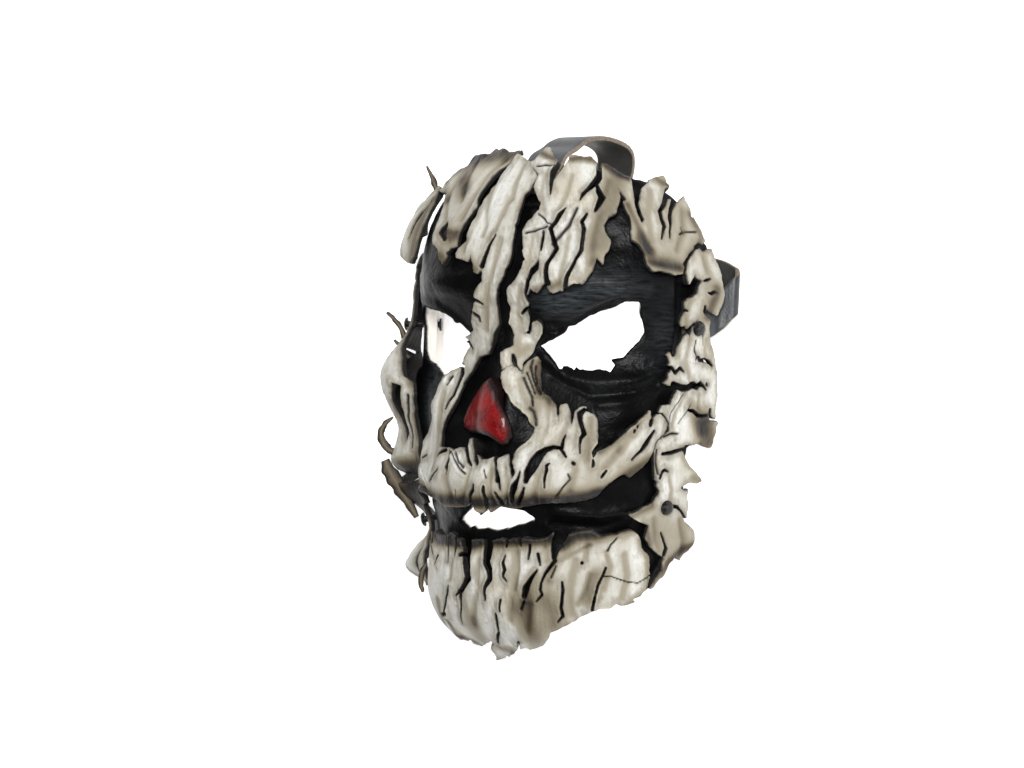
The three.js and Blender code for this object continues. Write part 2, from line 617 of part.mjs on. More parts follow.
function towardPad([x, y], distance, height) {
  const away = new THREE.Vector2(x - PAD_CENTRE[0], y - PAD_CENTRE[1]).setLength(distance);
  return new THREE.Vector3(PAD_CENTRE[0] + away.x, PAD_CENTRE[1] + away.y, height);
}

function rampFrom([x, y]) {
  const across = new THREE.Vector3(y - PAD_CENTRE[1], PAD_CENTRE[0] - x, 0).normalize();
  if (x > 0) across.negate();
  return PAD_RAMP.map(([distance, height]) => (
    { middle: towardPad([x, y], distance, height), across }
  ));
}

// Temple strap: under the side panel to the rim, out in a loop, then in along the floor.
// Loop stations: how far out, place along Y, height.
const FACE_UP = new THREE.Vector3(0, 1, 0).applyQuaternion(face.quaternion);
const TEMPLE_POCKET = [[79, 1], [85, 2], [91, 4], [96, 6.5]];
const TEMPLE_LOOP = [[72.3, 13.2, 10.6], [73.4, 14.6, 7.6], [75.4, 16.6, 5.7], [77.6, 18.6, 4.9],
  [79.4, 20.8, 4.5], [80.8, 22.6, 4], [81.4, 24.2, 2.85], [80.8, 25.8, 1.7],
  [79.2, 27.4, FLOOR_STRAP], [70, 31, FLOOR_STRAP]];
const TEMPLE_LANDING = [70, 31];

// Crown strap: under the forehead leather to the rim, over the crown in an arch and down to
// the floor
const CROWN_ACROSS = new THREE.Vector3(-1, 0, 0);
const CROWN_POCKET = [[8, 66], [8, 74], [8, 80], [8.3, 84]];
const CROWN_ARCH = [[6.8, 86, 37.6], [8.3, 89.6, 33], [10.5, 92, 28], [13.4, 92.8, 22],
  [16.2, 92.2, 15.6], [18, 90.8, 10], [18.4, 88.4, 5.7], [17.8, 85, 3], [17, 81, 1.6]];
const CROWN_LANDING = [16, 77];

function strapPiece(name, stations) {
  let strap = ribbon(stations);
  for (const drill of drills) strap = strap.subtract(drill);
  addRowPiece(name, geometryOf(strap), STRAP);
}

const landings = [TEMPLE_LANDING, [-TEMPLE_LANDING[0], TEMPLE_LANDING[1]], CROWN_LANDING];
const padRivets = landings.map((from) => towardPad(from, PAD_RIVET_PLACE, 0));
const padDrills = padRivets.map((place) => {
  const drill = new THREE.CylinderGeometry(RIVET.hole, RIVET.hole, DRILL_LENGTH, SIDES.hole);
  return solidOf(drill.rotateX(Math.PI / 2).translate(...place.toArray()));
});
const drills = [...padDrills, ...rivetHoles.map((hole) => hole.transform(face.matrix.elements))];

for (const [name, side] of [['strap_temple_left', 1], ['strap_temple_right', -1]]) {
  const under = TEMPLE_POCKET.map(([u, v]) => (
    { middle: pocketMiddle(side * u, v), across: FACE_UP }
  ));
  const free = TEMPLE_LOOP.map(([x, y, height]) => (
    { middle: new THREE.Vector3(side * x, y, height), across: new THREE.Vector3(0, 1, 0) }
  ));
  strapPiece(name, [...under, ...free, ...rampFrom([side * TEMPLE_LANDING[0], TEMPLE_LANDING[1]])]);
}
const crownMiddles = [
  ...CROWN_POCKET.map(([u, v]) => pocketMiddle(u, v)),
  ...CROWN_ARCH.map((station) => new THREE.Vector3(...station)),
  new THREE.Vector3(...CROWN_LANDING, FLOOR_STRAP),
];
strapPiece('strap_crown', [
  ...crownMiddles.map((middle) => ({ middle, across: CROWN_ACROSS })),
  ...rampFrom(CROWN_LANDING),
]);

let padSolid = solidOf(new THREE.CylinderGeometry(PAD_RADIUS, PAD_RADIUS, STRAP_WALL, SIDES.pad)
  .rotateX(Math.PI / 2).translate(...PAD_CENTRE, STRAP_WALL / 2));
for (const drill of padDrills) padSolid = padSolid.subtract(drill);
addRowPiece('strap_pad', geometryOf(padSolid), STRAP);

// Rivets: through panel and base at the temples and jaw, and through straps and pad
for (const [name, [u, v, panel]] of Object.entries(RIVET_PLACES)) {
  const around = [0, 60, 120, 180, 240, 300].map((turn) => {
    const angle = THREE.MathUtils.degToRad(turn);
    const [du, dv] = [RIVET.head * Math.cos(angle), RIVET.head * Math.sin(angle)];
    return swell(SKINS[panel].raised, u + du, v + dv);
  });
  const seat = Math.max(...around) + HEAD_GAP;
  const grip = seat + HEAD_GAP + BASE_WALL - baseOutside(u, v);
  addPiece(name, standOn(rivetGeometry(grip), u, v, seat), RIVET_METAL);
}
padRivets.forEach(({ x, y }, k) => {
  const seat = PAD_STRAP + STRAP_WALL / 2 + HEAD_GAP;
  const profile = [[0, PAD_RIVET_FOOT - seat], [RIVET.shank, PAD_RIVET_FOOT - seat],
    [RIVET.shank, 0], [RIVET.head, 0],
    [RIVET.head * 0.6, RIVET.dome * 0.85], [0, RIVET.dome]];
  const turned = new THREE.LatheGeometry(
    profile.map(([r, z]) => new THREE.Vector2(r, z)),
    SIDES.rivet,
  );
  addRowPiece(`rivet_pad_${k + 1}`, turned.rotateX(Math.PI / 2).translate(x, y, seat), RIVET_METAL);
});

export default group;
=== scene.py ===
"""Torn-skin clown mask: moulded black leather, torn bone-white leather panels, flat straps."""

import math

import bpy
import numpy as np
from mathutils import Matrix, Vector


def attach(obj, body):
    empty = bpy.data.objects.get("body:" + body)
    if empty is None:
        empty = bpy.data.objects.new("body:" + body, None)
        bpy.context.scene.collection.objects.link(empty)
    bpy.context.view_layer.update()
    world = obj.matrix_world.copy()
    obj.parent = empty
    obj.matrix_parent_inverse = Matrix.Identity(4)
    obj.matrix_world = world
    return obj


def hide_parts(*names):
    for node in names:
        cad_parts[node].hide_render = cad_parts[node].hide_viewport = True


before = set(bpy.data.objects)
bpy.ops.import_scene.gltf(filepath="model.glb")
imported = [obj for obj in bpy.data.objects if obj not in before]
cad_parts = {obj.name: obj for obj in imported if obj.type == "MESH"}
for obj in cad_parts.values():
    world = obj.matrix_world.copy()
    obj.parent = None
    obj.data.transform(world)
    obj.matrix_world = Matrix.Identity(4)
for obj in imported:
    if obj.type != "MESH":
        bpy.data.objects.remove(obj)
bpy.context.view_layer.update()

# Driving dimensions in millimetres, the same as the solids'
MM = 0.001
ARC_RADIUS = 78.0                # an angle round the face times this radius is u
AXIS_DEPTH = -75.0               # the upright axis of the face, behind the nose bridge
ROUNDNESS = 2.3                  # exponent of the level cross-section, where 2 is an ellipse
BASE_WALL = 3.0
SKIN_WALL = 2.6
LAYER_GAP = 1.0                  # clearance between one layer and the next
TOUCH_GAP = 0.4                  # clearance between pieces that rest on each other
STRAP_WIDTH = 19.0
STRAP_WALL = 2.2
STRAP_GAP = 1.4                  # clearance under and over a strap in its pocket
CHIN_DROP = math.radians(6)      # the chin dips as the mask lies on its straps
LYING_HEIGHT = 63.4              # the nose bridge above the floor
MIDDLE_SHIFT = (2.1, 25.4)       # from under the nose bridge to the middle of the part

# Spacing of the meshes' points
PANEL_CELL = 0.55
BASE_CELL = 1.0
NOSE_CELL = 0.6

# The face's middle line and its half width, each as (height, value)
PROFILE = [(-150, -26), (-140, -12), (-132, -2), (-120, 4), (-105, 5), (-92, 2), (-80, 6),
           (-66, 7), (-50, 2), (-25, -2), (0, -2), (18, 3), (35, 4), (50, 1), (65, -7),
           (78, -18), (90, -34)]
WIDTH = [(-150, 54), (-140, 58), (-120, 63), (-100, 67), (-80, 70), (-60, 72), (-40, 75),
         (-20, 77), (0, 79), (20, 79), (40, 76), (60, 69), (78, 57), (90, 46)]
# Swellings and hollows: u, v, spread in u, spread in v, height
PAIRED_FEATURES = [(38, 22, 24, 9, 4), (40, -2, 22, 14, -6), (50, -34, 20, 14, 3),
                   (58, -122, 16, 18, 4)]
NOSE_FEATURES = [(0, -15, 9, 20, 8), (0, -40, 11, 14, 9)]
FEATURES = [(side * u, *rest) for side in (1, -1) for u, *rest in PAIRED_FEATURES]
FEATURES += NOSE_FEATURES + [(-88, -38, 15, 27, 9)]
BASE_HOLLOWS = [(-16, -38, 18, 18, -5), (0, -84, 45, 8, -2.5), (48, 45, 10, 14, -2),
                (5, 40, 6, 25, -1.5)]
BASE_OUTSIDE = -SKIN_WALL - LAYER_GAP
STRAP_POCKET = STRAP_WALL + 2 * STRAP_GAP - LAYER_GAP


# The face as a surface over u (mm of arc round the face) and v (mm up the face)
def smooth(keys, at):
    """A smooth curve through the (place, value) pairs."""
    knots, values = np.array(keys, float).T
    slopes = np.gradient(values, knots)
    x = np.clip(at, knots[0], knots[-1])
    i = np.clip(np.searchsorted(knots, x) - 1, 0, len(knots) - 2)
    span = knots[i + 1] - knots[i]
    t = (x - knots[i]) / span
    start = (2 * t**3 - 3 * t**2 + 1) * values[i] + (t**3 - 2 * t**2 + t) * span * slopes[i]
    end = (-2 * t**3 + 3 * t**2) * values[i + 1] + (t**3 - t**2) * span * slopes[i + 1]
    return start + end


def swell(places, u, v):
    total = np.zeros(np.broadcast(u, v).shape)
    for cu, cv, su, sv, height in places:
        total += height * np.exp(-(((u - cu) / su) ** 2) - ((v - cv) / sv) ** 2)
    return total


def step(low, high, x):
    t = np.clip((x - low) / (high - low), 0, 1)
    return t * t * (3 - 2 * t)


def plateau(x, low, high, fade):
    """1 from low to high, fading to 0 on both sides."""
    return step(low - fade, low, x) * (1 - step(high, high + fade, x))


def face_point(u, v):
    angle = u / ARC_RADIUS
    ahead = np.abs(np.cos(angle)) / (smooth(PROFILE, v) - AXIS_DEPTH)
    aside = np.abs(np.sin(angle)) / smooth(WIDTH, v)
    r = (ahead**ROUNDNESS + aside**ROUNDNESS) ** (-1 / ROUNDNESS) + swell(FEATURES, u, v)
    return np.stack([r * np.sin(angle), v + 0 * r, AXIS_DEPTH + r * np.cos(angle)], -1)


def face_normal(u, v):
    across = face_point(u + 0.5, v) - face_point(u - 0.5, v)
    along = face_point(u, v + 0.5) - face_point(u, v - 0.5)
    normal = np.cross(across, along)
    return normal / np.linalg.norm(normal, axis=-1, keepdims=True)


def on_face(u, v, offset):
    return face_point(u, v) + face_normal(u, v) * np.asarray(offset)[..., None]


def base_outside(u, v):
    temple = plateau(np.abs(u), 82, 130, 5) * plateau(v, -12, 22, 6)
    crown = plateau(u, -8, 24, 8) * plateau(v, 64, 130, 8)
    pocket = STRAP_POCKET * np.maximum(temple, crown)
    return BASE_OUTSIDE + swell(BASE_HOLLOWS, u, v) - pocket


TURN = np.array([[1, 0, 0],
                 [0, math.cos(CHIN_DROP), -math.sin(CHIN_DROP)],
                 [0, math.sin(CHIN_DROP), math.cos(CHIN_DROP)]])


def to_row(points):
    """From the upright face to the mask as it lies, in millimetres."""
    return points @ TURN.T + np.array([*MIDDLE_SHIFT, LYING_HEIGHT])


# The photograph's camera, and the place on the face that it shows at a pixel
YAW, PITCH = math.radians(30), math.radians(3)
DISTANCE, MM_PER_PIXEL = 950.0, 0.44
PHOTO_WIDTH = 1024
GRID_U, GRID_V = (-100, 109, 1.0), (-148, 90, 1.0)
MIDDLE_PIXEL, BRIDGE_PIXEL = np.array([512, 384]), np.array([508, 335])
BACK = np.array([math.sin(YAW) * math.cos(PITCH), math.sin(PITCH), math.cos(YAW) * math.cos(PITCH)])
RIGHT = np.array([math.cos(YAW), 0, -math.sin(YAW)])
UPWARD = np.cross(BACK, RIGHT)
ASIDE, ABOVE = (MIDDLE_PIXEL - BRIDGE_PIXEL) * MM_PER_PIXEL
EYE = ASIDE * RIGHT - ABOVE * UPWARD + DISTANCE * BACK


def pixel_of(u, v, offset):
    """The pixels that show the places (u, v) of the surface at this offset from the face."""
    ray = on_face(u, v, offset(u, v)) - EYE
    scale = -(ray @ BACK) * MM_PER_PIXEL / DISTANCE
    return np.stack([MIDDLE_PIXEL[0] + ray @ RIGHT / scale, MIDDLE_PIXEL[1] - ray @ UPWARD / scale])


def facing_grid(offset):
    """Places on the surface that face the camera, and their pixels."""
    u, v = (g.ravel() for g in np.meshgrid(np.arange(*GRID_U), np.arange(*GRID_V)))
    toward = (face_normal(u, v) * (EYE - on_face(u, v, offset(u, v)))).sum(1) > 0
    u, v = u[toward], v[toward]
    return u, v, pixel_of(u, v, offset)


def seen_at(pixels, offset, grid):
    """The places (u, v) that the photograph shows at these pixels, on the face at an offset."""
    nudge, least_area, longest_step = 0.2, 0.3, 0.8
    wanted = np.array(pixels, float).T
    nearest = [np.argmin(np.hypot(grid[2][0] - x, grid[2][1] - y)) for x, y in wanted.T]
    u, v = grid[0][nearest].copy(), grid[1][nearest].copy()
    for _ in range(5):
        here = pixel_of(u, v, offset)
        miss_x, miss_y = wanted - here
        ux, uy = (pixel_of(u + nudge, v, offset) - here) / nudge
        vx, vy = (pixel_of(u, v + nudge, offset) - here) / nudge
        area = ux * vy - uy * vx
        area = np.where(np.abs(area) < least_area, least_area * np.sign(area + 1e-9), area)
        u += np.clip((miss_x * vy - miss_y * vx) / area, -longest_step, longest_step)
        v += np.clip((miss_y * ux - miss_x * uy) / area, -longest_step, longest_step)
    return list(zip(u, v))


# Seeded relief
LATTICE = 128
FAR = 1e3


def ripple(x, y, seed):
    """Smooth bumps from -1 to 1, a unit apart."""
    lattice = np.random.default_rng(seed).uniform(-1, 1, (LATTICE, LATTICE))
    i, j = np.floor(x).astype(int), np.floor(y).astype(int)
    fx, fy = x - i, y - j
    fx, fy = fx * fx * (3 - 2 * fx), fy * fy * (3 - 2 * fy)
    i, j, i_next, j_next = i % LATTICE, j % LATTICE, (i + 1) % LATTICE, (j + 1) % LATTICE
    a, b = lattice[i, j], lattice[i_next, j]
    c, d = lattice[i, j_next], lattice[i_next, j_next]
    return (a * (1 - fx) + b * fx) * (1 - fy) + (c * (1 - fx) + d * fx) * fy


def ripples(u, v, layers):
    """A sum of ripples, each as height, spread in u, spread in v, seed."""
    return sum(height * ripple(u / wide, v / long, seed) for height, wide, long, seed in layers)


def segments(line, closed=False):
    """Starts and ends of the line's stretches."""
    points = np.array(line, float)
    if closed:
        return points, np.roll(points, -1, 0)
    return points[:-1], points[1:]


def line_distance(u, v, line, closed=False, widths=None):
    """Distance to a line, less half its width where it has one."""
    nearest = np.full(u.shape, FAR)
    starts, ends = segments(line, closed)
    for k, (a, b) in enumerate(zip(starts, ends)):
        d = b - a
        t = np.clip(((u - a[0]) * d[0] + (v - a[1]) * d[1]) / max(d @ d, 1e-9), 0, 1)
        gap = np.hypot(u - a[0] - t * d[0], v - a[1] - t * d[1])
        if widths is not None:
            gap = gap - (widths[k] * (1 - t) + widths[k + 1] * t) / 2
        nearest = np.minimum(nearest, gap)
    return nearest


def inside_distance(u, v, loop):
    """Distance to a closed outline, positive inside it."""
    inside = np.zeros(u.shape, bool)
    starts, ends = segments(loop, True)
    for a, b in zip(starts, ends):
        if a[1] == b[1]:
            continue
        crosses = (a[1] > v) != (b[1] > v)
        inside ^= crosses & (u < a[0] + (v - a[1]) * (b[0] - a[0]) / (b[1] - a[1]))
    gap = line_distance(u, v, loop, True)
    return np.where(inside, gap, -gap)


# Meshes
def make_object(name, points, faces, attributes, material, smooth_angle=None):
    """A piece that rides on the mask, from points in millimetres."""
    mesh = bpy.data.meshes.new(name)
    mesh.vertices.add(len(points))
    mesh.vertices.foreach_set("co", (np.asarray(points) * MM).astype(np.float32).ravel())
    faces = np.asarray(faces, np.int32)
    size = faces.shape[1]
    mesh.loops.add(faces.size)
    mesh.loops.foreach_set("vertex_index", faces.ravel())
    mesh.polygons.add(len(faces))
    mesh.polygons.foreach_set("loop_start", np.arange(0, faces.size, size, dtype=np.int32))
    mesh.update(calc_edges=True)
    mesh.validate()
    mesh.shade_smooth()
    if smooth_angle:
        mesh.set_sharp_from_angle(angle=math.radians(smooth_angle))
    for key, values in attributes.items():
        values = np.asarray(values, np.float32)
        if values.ndim == 2:
            layer = mesh.attributes.new(key, "FLOAT_VECTOR", "POINT")
            layer.data.foreach_set("vector", values.ravel())
        else:
            layer = mesh.attributes.new(key, "FLOAT", "POINT")
            layer.data.foreach_set("value", values)
    obj = bpy.data.objects.new(name, mesh)
    bpy.context.scene.collection.objects.link(obj)
    mesh.materials.append(material)
    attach(obj, "root")
    return obj


def cut_grid(field, low, high, cell):
    """Triangles of a plane grid where field(u, v) is positive, cut along its zero line."""
    us = np.arange(low[0] - cell, high[0] + 2 * cell, cell)
    vs = np.arange(low[1] - cell, high[1] + 2 * cell, cell)
    u, v = (g.ravel().copy() for g in np.meshgrid(us, vs))
    width = len(us)
    s = field(u, v)
    grid = s.reshape(len(vs), width)
    dv, du = np.gradient(grid, cell)
    least_slope, snap = 0.5, 0.3 * cell
    slope = np.maximum(du**2 + dv**2, least_slope**2).ravel()
    shift = s / slope
    near = np.hypot(shift * du.ravel(), shift * dv.ravel()) < snap
    u[near] -= (shift * du.ravel())[near]
    v[near] -= (shift * dv.ravel())[near]
    s[near] = 0
    i, j = np.meshgrid(np.arange(width - 1), np.arange(len(vs) - 1))
    i, j = i.ravel(), j.ravel()
    a = j * width + i
    even = ((i + j) % 2 == 0)
    first = np.where(even[:, None], np.stack([a, a + 1, a + width + 1], 1),
                     np.stack([a, a + 1, a + width], 1))
    second = np.where(even[:, None], np.stack([a, a + width + 1, a + width], 1),
                      np.stack([a + 1, a + width + 1, a + width], 1))
    tris = np.concatenate([first, second])
    sign = np.sign(s[tris]).astype(int)
    plus, minus = (sign > 0).sum(1), (sign < 0).sum(1)
    kept = [tris[(minus == 0) & (plus > 0)]]
    cuts, pending = [], []

    def cut(p, n):
        t = s[p] / (s[p] - s[n])
        key = p.astype(np.int64) * len(s) + n
        cuts.append((key, u[p] + (u[n] - u[p]) * t, v[p] + (v[n] - v[p]) * t))
        return key

    def rolled(rows, at):
        return np.stack([rows[np.arange(len(rows)), (at + k) % 3] for k in range(3)], 1)

    pick = (plus == 2) & (minus == 1)
    rows = rolled(tris[pick], np.argmin(sign[pick], 1) + 1)
    a, b, c = rows.T
    x, y = cut(b, c), cut(a, c)
    pending += [(a, b, -1 - x), (a, -1 - x, -1 - y)]
    pick = (plus == 1) & (minus == 2)
    a, b, c = rolled(tris[pick], np.argmax(sign[pick], 1)).T
    x, y = cut(a, b), cut(a, c)
    pending.append((a, -1 - x, -1 - y))
    pick = (plus == 1) & (minus == 1)
    rows = rolled(tris[pick], np.argmax(sign[pick], 1))
    next_low = s[rows[:, 1]] < 0
    a, b, c = rows[next_low].T
    pending.append((a, -1 - cut(a, b), c))
    a, b, c = rows[~next_low].T
    pending.append((a, b, -1 - cut(a, c)))
    key = np.concatenate([k for k, _, _ in cuts])
    keys, at = np.unique(key, return_index=True)
    u = np.concatenate([u, np.concatenate([x for _, x, _ in cuts])[at]])
    v = np.concatenate([v, np.concatenate([y for _, _, y in cuts])[at]])
    for columns in pending:
        fixed = [np.where(c < 0, len(s) + np.searchsorted(keys, -1 - c), c) for c in columns]
        kept.append(np.stack(fixed, 1))
    tris = np.concatenate(kept)
    used, tris = np.unique(tris, return_inverse=True)
    return u[used], v[used], tris.reshape(-1, 3)


MOST_ROUNDS = 400


def drop_crumbs(u, v, tris, least):
    """Without the loose scraps that are smaller than least square millimetres."""
    label = np.arange(len(u))
    for _ in range(MOST_ROUNDS):
        before = label.copy()
        low = label[tris].min(1)
        for k in range(3):
            np.minimum.at(label, tris[:, k], low)
        label = label[label]
        if (label == before).all():
            break
    a, b, c = (np.stack([u[tris[:, k]], v[tris[:, k]]], 1) for k in range(3))
    area = np.abs(np.cross(b - a, c - a)) / 2
    total = np.bincount(label[tris[:, 0]], area, len(u))
    tris = tris[total[label[tris[:, 0]]] > least]
    used, tris = np.unique(tris, return_inverse=True)
    return u[used], v[used], tris.reshape(-1, 3)


def border(tris):
    """Directed edges that belong to one triangle only."""
    edges = np.concatenate([tris[:, [0, 1]], tris[:, [1, 2]], tris[:, [2, 0]]])
    count = edges.max() + 1
    key = edges[:, 0].astype(np.int64) * count + edges[:, 1]
    back = edges[:, 1].astype(np.int64) * count + edges[:, 0]
    return edges[~np.isin(key, back)]


LEAST_SCRAP = 8                         # square millimetres
LAYER_CLEARANCE = 0.2                   # the underside stays this far above its solid's
EDGE_ROUNDING = 0.75
SHEET_CREASE, TURNED_CREASE = 60, 50    # degrees, above which an edge stays sharp


def leather_sheet(name, field, low, high, top, bottom, material, cell, rim=0.55,
                  extra=None, along=0.0):
    """A closed sheet of leather: field is positive on it, top and bottom are offsets."""
    u, v, tris = drop_crumbs(*cut_grid(field, low, high, cell), LEAST_SCRAP)
    s = np.maximum(field(u, v), 0)
    worn = np.clip(1 - s / rim, 0, 1)
    rounding = rim * (1 - np.sqrt(np.maximum(1 - worn**2, 0)))
    upper = to_row(on_face(u, v, top(u, v, s) - EDGE_ROUNDING * rounding))
    lower = to_row(on_face(u, v, bottom(u, v, s)))
    edge = border(tris)
    under = len(u)
    a, b = edge.T
    walls = np.concatenate([np.stack([a, a + under, b + under], 1),
                            np.stack([a, b + under, b], 1)])
    faces = np.concatenate([tris, tris[:, ::-1] + under, walls])
    both = np.concatenate
    turn = math.radians(along)
    across = u * math.cos(turn) + v * math.sin(turn)
    down = v * math.cos(turn) - u * math.sin(turn)
    attributes = {
        "edge": both([s, 0 * s]),
        "under": both([0 * s, 0 * s + 1]),
        "flow": both([np.stack([across, down, 0 * u], 1), np.stack([across, down, 0 * u + 50], 1)]),
    }
    for key, values in (extra(u, v, s) if extra else {}).items():
        attributes[key] = both([values, 0 * values])
    return make_object(name, both([upper, lower]), faces, attributes, material,
                       SHEET_CREASE)


# Materials
class Shade:
    """A few short names for building one material's nodes."""

    def __init__(self, name):
        self.material = bpy.data.materials.new(name)
        self.material.use_nodes = True
        self.tree = self.material.node_tree
        self.surface = self.tree.nodes["Principled BSDF"]

    def node(self, kind, **settings):
        made = self.tree.nodes.new("ShaderNode" + kind)
        for key, value in settings.items():
            setattr(made, key, value)
        return made

    def put(self, source, socket):
        if isinstance(source, (int, float)):
            socket.default_value = source
        elif isinstance(source, (tuple, list)):
            socket.default_value = (*source, 1)[:len(socket.default_value)]
        else:
            self.tree.links.new(source, socket)

    def value(self, name):
        """A number that the mesh holds at each point."""
        return self.node("Attribute", attribute_name=name).outputs["Fac"]

    def scaled(self, source, scale):
        made = self.node("VectorMath", operation="MULTIPLY")
        self.put(source, made.inputs[0])
        made.inputs[1].default_value = scale
        return made.outputs[0]

    def flow(self, across, down):
        """Millimetres across and along the leather's grain, each times a scale."""
        source = self.node("Attribute", attribute_name="flow").outputs["Vector"]
        return self.scaled(source, (across, down, 1))

    def place(self, scale):
        """The place in millimetres, times a scale."""
        return self.scaled(self.node("TexCoord").outputs["Object"], (scale / MM,) * 3)

    def noise(self, vector, detail, rough):
        made = self.node("TexNoise")
        self.put(vector, made.inputs["Vector"])
        made.inputs["Scale"].default_value = 1
        made.inputs["Detail"].default_value = detail
        made.inputs["Roughness"].default_value = rough
        return made.outputs["Fac"]

    def cells(self, vector):
        made = self.node("TexVoronoi")
        self.put(vector, made.inputs["Vector"])
        made.inputs["Scale"].default_value = 1
        return made.outputs["Distance"]

    def math(self, operation, a, b=0.0, c=0.0):
        made = self.node("Math", operation=operation)
        for source, socket in zip((a, b, c), made.inputs):
            self.put(source, socket)
        return made.outputs[0]

    def fade(self, source, low, high, to_low=0.0, to_high=1.0):
        made = self.node("MapRange", interpolation_type="SMOOTHSTEP")
        self.put(source, made.inputs["Value"])
        for key, value in (("From Min", low), ("From Max", high), ("To Min", to_low),
                           ("To Max", to_high)):
            made.inputs[key].default_value = value
        return made.outputs[0]

    def mix(self, factor, a, b):
        made = self.node("Mix", data_type="RGBA")
        self.put(factor, made.inputs[0])
        self.put(a, made.inputs[6])
        self.put(b, made.inputs[7])
        return made.outputs[2]

    def ramp(self, factor, *stops):
        made = self.node("ValToRGB")
        self.put(factor, made.inputs[0])
        made.color_ramp.elements.remove(made.color_ramp.elements[0])
        made.color_ramp.elements[0].position = stops[0][0]
        made.color_ramp.elements[0].color = (*stops[0][1], 1)
        for position, color in stops[1:]:
            made.color_ramp.elements.new(position).color = (*color, 1)
        return made.outputs[0]

    def bump(self, height, distance, over=None):
        made = self.node("Bump")
        self.put(height, made.inputs["Height"])
        made.inputs["Distance"].default_value = distance * MM
        made.inputs["Strength"].default_value = 1
        if over is not None:
            self.put(over, made.inputs["Normal"])
        return made.outputs[0]

    def finish(self, color, roughness, normal=None, **constants):
        self.put(color, self.surface.inputs["Base Color"])
        self.put(roughness, self.surface.inputs["Roughness"])
        if normal is not None:
            self.put(normal, self.surface.inputs["Normal"])
        for key, value in constants.items():
            self.surface.inputs[key.replace("_", " ")].default_value = value
        return self.material


def bone_leather():
    s = Shade("torn_leather")
    streaks = s.noise(s.flow(0.16, 0.03), 4, 0.6)
    blotches = s.noise(s.flow(0.05, 0.04), 5, 0.6)
    color = s.ramp(s.math("ADD", s.math("MULTIPLY", streaks, 0.5), s.math("MULTIPLY", blotches, 0.5)),
                   (0.3, (0.33, 0.32, 0.27)), (0.45, (0.47, 0.46, 0.41)),
                   (0.56, (0.58, 0.575, 0.54)), (0.72, (0.71, 0.71, 0.69)))
    height = s.value("height")
    # Colour by relief: the low places darker brown, partly airbrush in the folds and partly painted
    # shade; the ridges lighter, a painted highlight
    color = s.mix(s.fade(height, -0.05, -0.7, 0, 0.6), color, (0.20, 0.17, 0.11))
    color = s.mix(s.fade(height, 0.3, 0.9, 0, 0.4), color, (0.78, 0.78, 0.765))
    warm = s.noise(s.flow(0.045, 0.03), 3, 0.5)
    color = s.mix(s.fade(warm, 0.47, 0.68, 0, 0.5), color, (0.42, 0.36, 0.26))
    mottle = s.noise(s.place(0.55), 5, 0.7)
    color = s.mix(s.fade(mottle, 0.48, 0.34, 0, 0.45), color, (0.30, 0.27, 0.19))
    hair = s.noise(s.flow(0.7, 0.09), 2, 0.5)
    hair = s.fade(s.math("ABSOLUTE", s.math("SUBTRACT", hair, 0.5)), 0.010, 0.0)
    hair = s.math("MULTIPLY", hair, s.fade(blotches, 0.46, 0.6))
    color = s.mix(s.math("MULTIPLY", hair, 0.55), color, (0.10, 0.085, 0.06))
    edge = s.value("edge")
    uneven = s.noise(s.flow(0.25, 0.12), 3, 0.6)
    reach = s.math("MULTIPLY_ADD", uneven, -9.0, 4.5)
    tinted = s.fade(s.math("ADD", edge, reach), 4.2, 0.0)
    color = s.mix(s.math("MULTIPLY", tinted, 0.6), color, (0.13, 0.105, 0.06))
    stain = s.value("stain")
    # Airbrushed stains and painted shade, light brown to black: the shade is broad on the sides that
    # turn from the light, and in the valleys
    color = s.mix(s.fade(stain, 0.03, 0.5), color, (0.25, 0.22, 0.16))
    color = s.mix(s.fade(stain, 0.4, 0.95), color, (0.075, 0.054, 0.027))
    color = s.mix(s.fade(stain, 0.85, 1.25), color, (0.006, 0.005, 0.004))
    rim = s.fade(s.math("ADD", edge, s.math("MULTIPLY_ADD", uneven, -2.4, 1.2)), 0.6, 0.0)
    color = s.mix(s.math("MULTIPLY", rim, 0.55), color, (0.045, 0.034, 0.024))
    lifted = s.math("MULTIPLY", s.fade(s.value("lift"), 0.25, 0.6), s.fade(edge, 1.3, 0.5))
    lifted = s.math("MULTIPLY", lifted, s.fade(stain, 0.6, 0.2))
    color = s.mix(s.math("MULTIPLY", lifted, 0.55), color, (0.5, 0.45, 0.34))
    groove = s.value("groove")
    color = s.mix(s.fade(groove, 0.2, 0.85), color, (0.006, 0.005, 0.004))
    under = s.value("under")
    color = s.mix(s.fade(under, 0.06, 0.4), color, (0.008, 0.007, 0.006))
    pores = s.cells(s.flow(0.9, 0.7))
    wrinkles = s.noise(s.flow(0.55, 0.1), 6, 0.65)
    fine = s.noise(s.place(1.6), 3, 0.6)
    normal = s.bump(s.math("ADD", wrinkles, s.math("MULTIPLY", mottle, 0.6)), 0.7)
    normal = s.bump(s.math("MULTIPLY_ADD", pores, 0.35, s.math("MULTIPLY", fine, 0.5)), 0.16,
                    over=normal)
    roughness = s.fade(s.math("ADD", blotches, s.math("MULTIPLY", fine, 0.4)), 0.4, 0.95, 0.34, 0.55)
    return s.finish(color, roughness, normal, IOR=1.45)


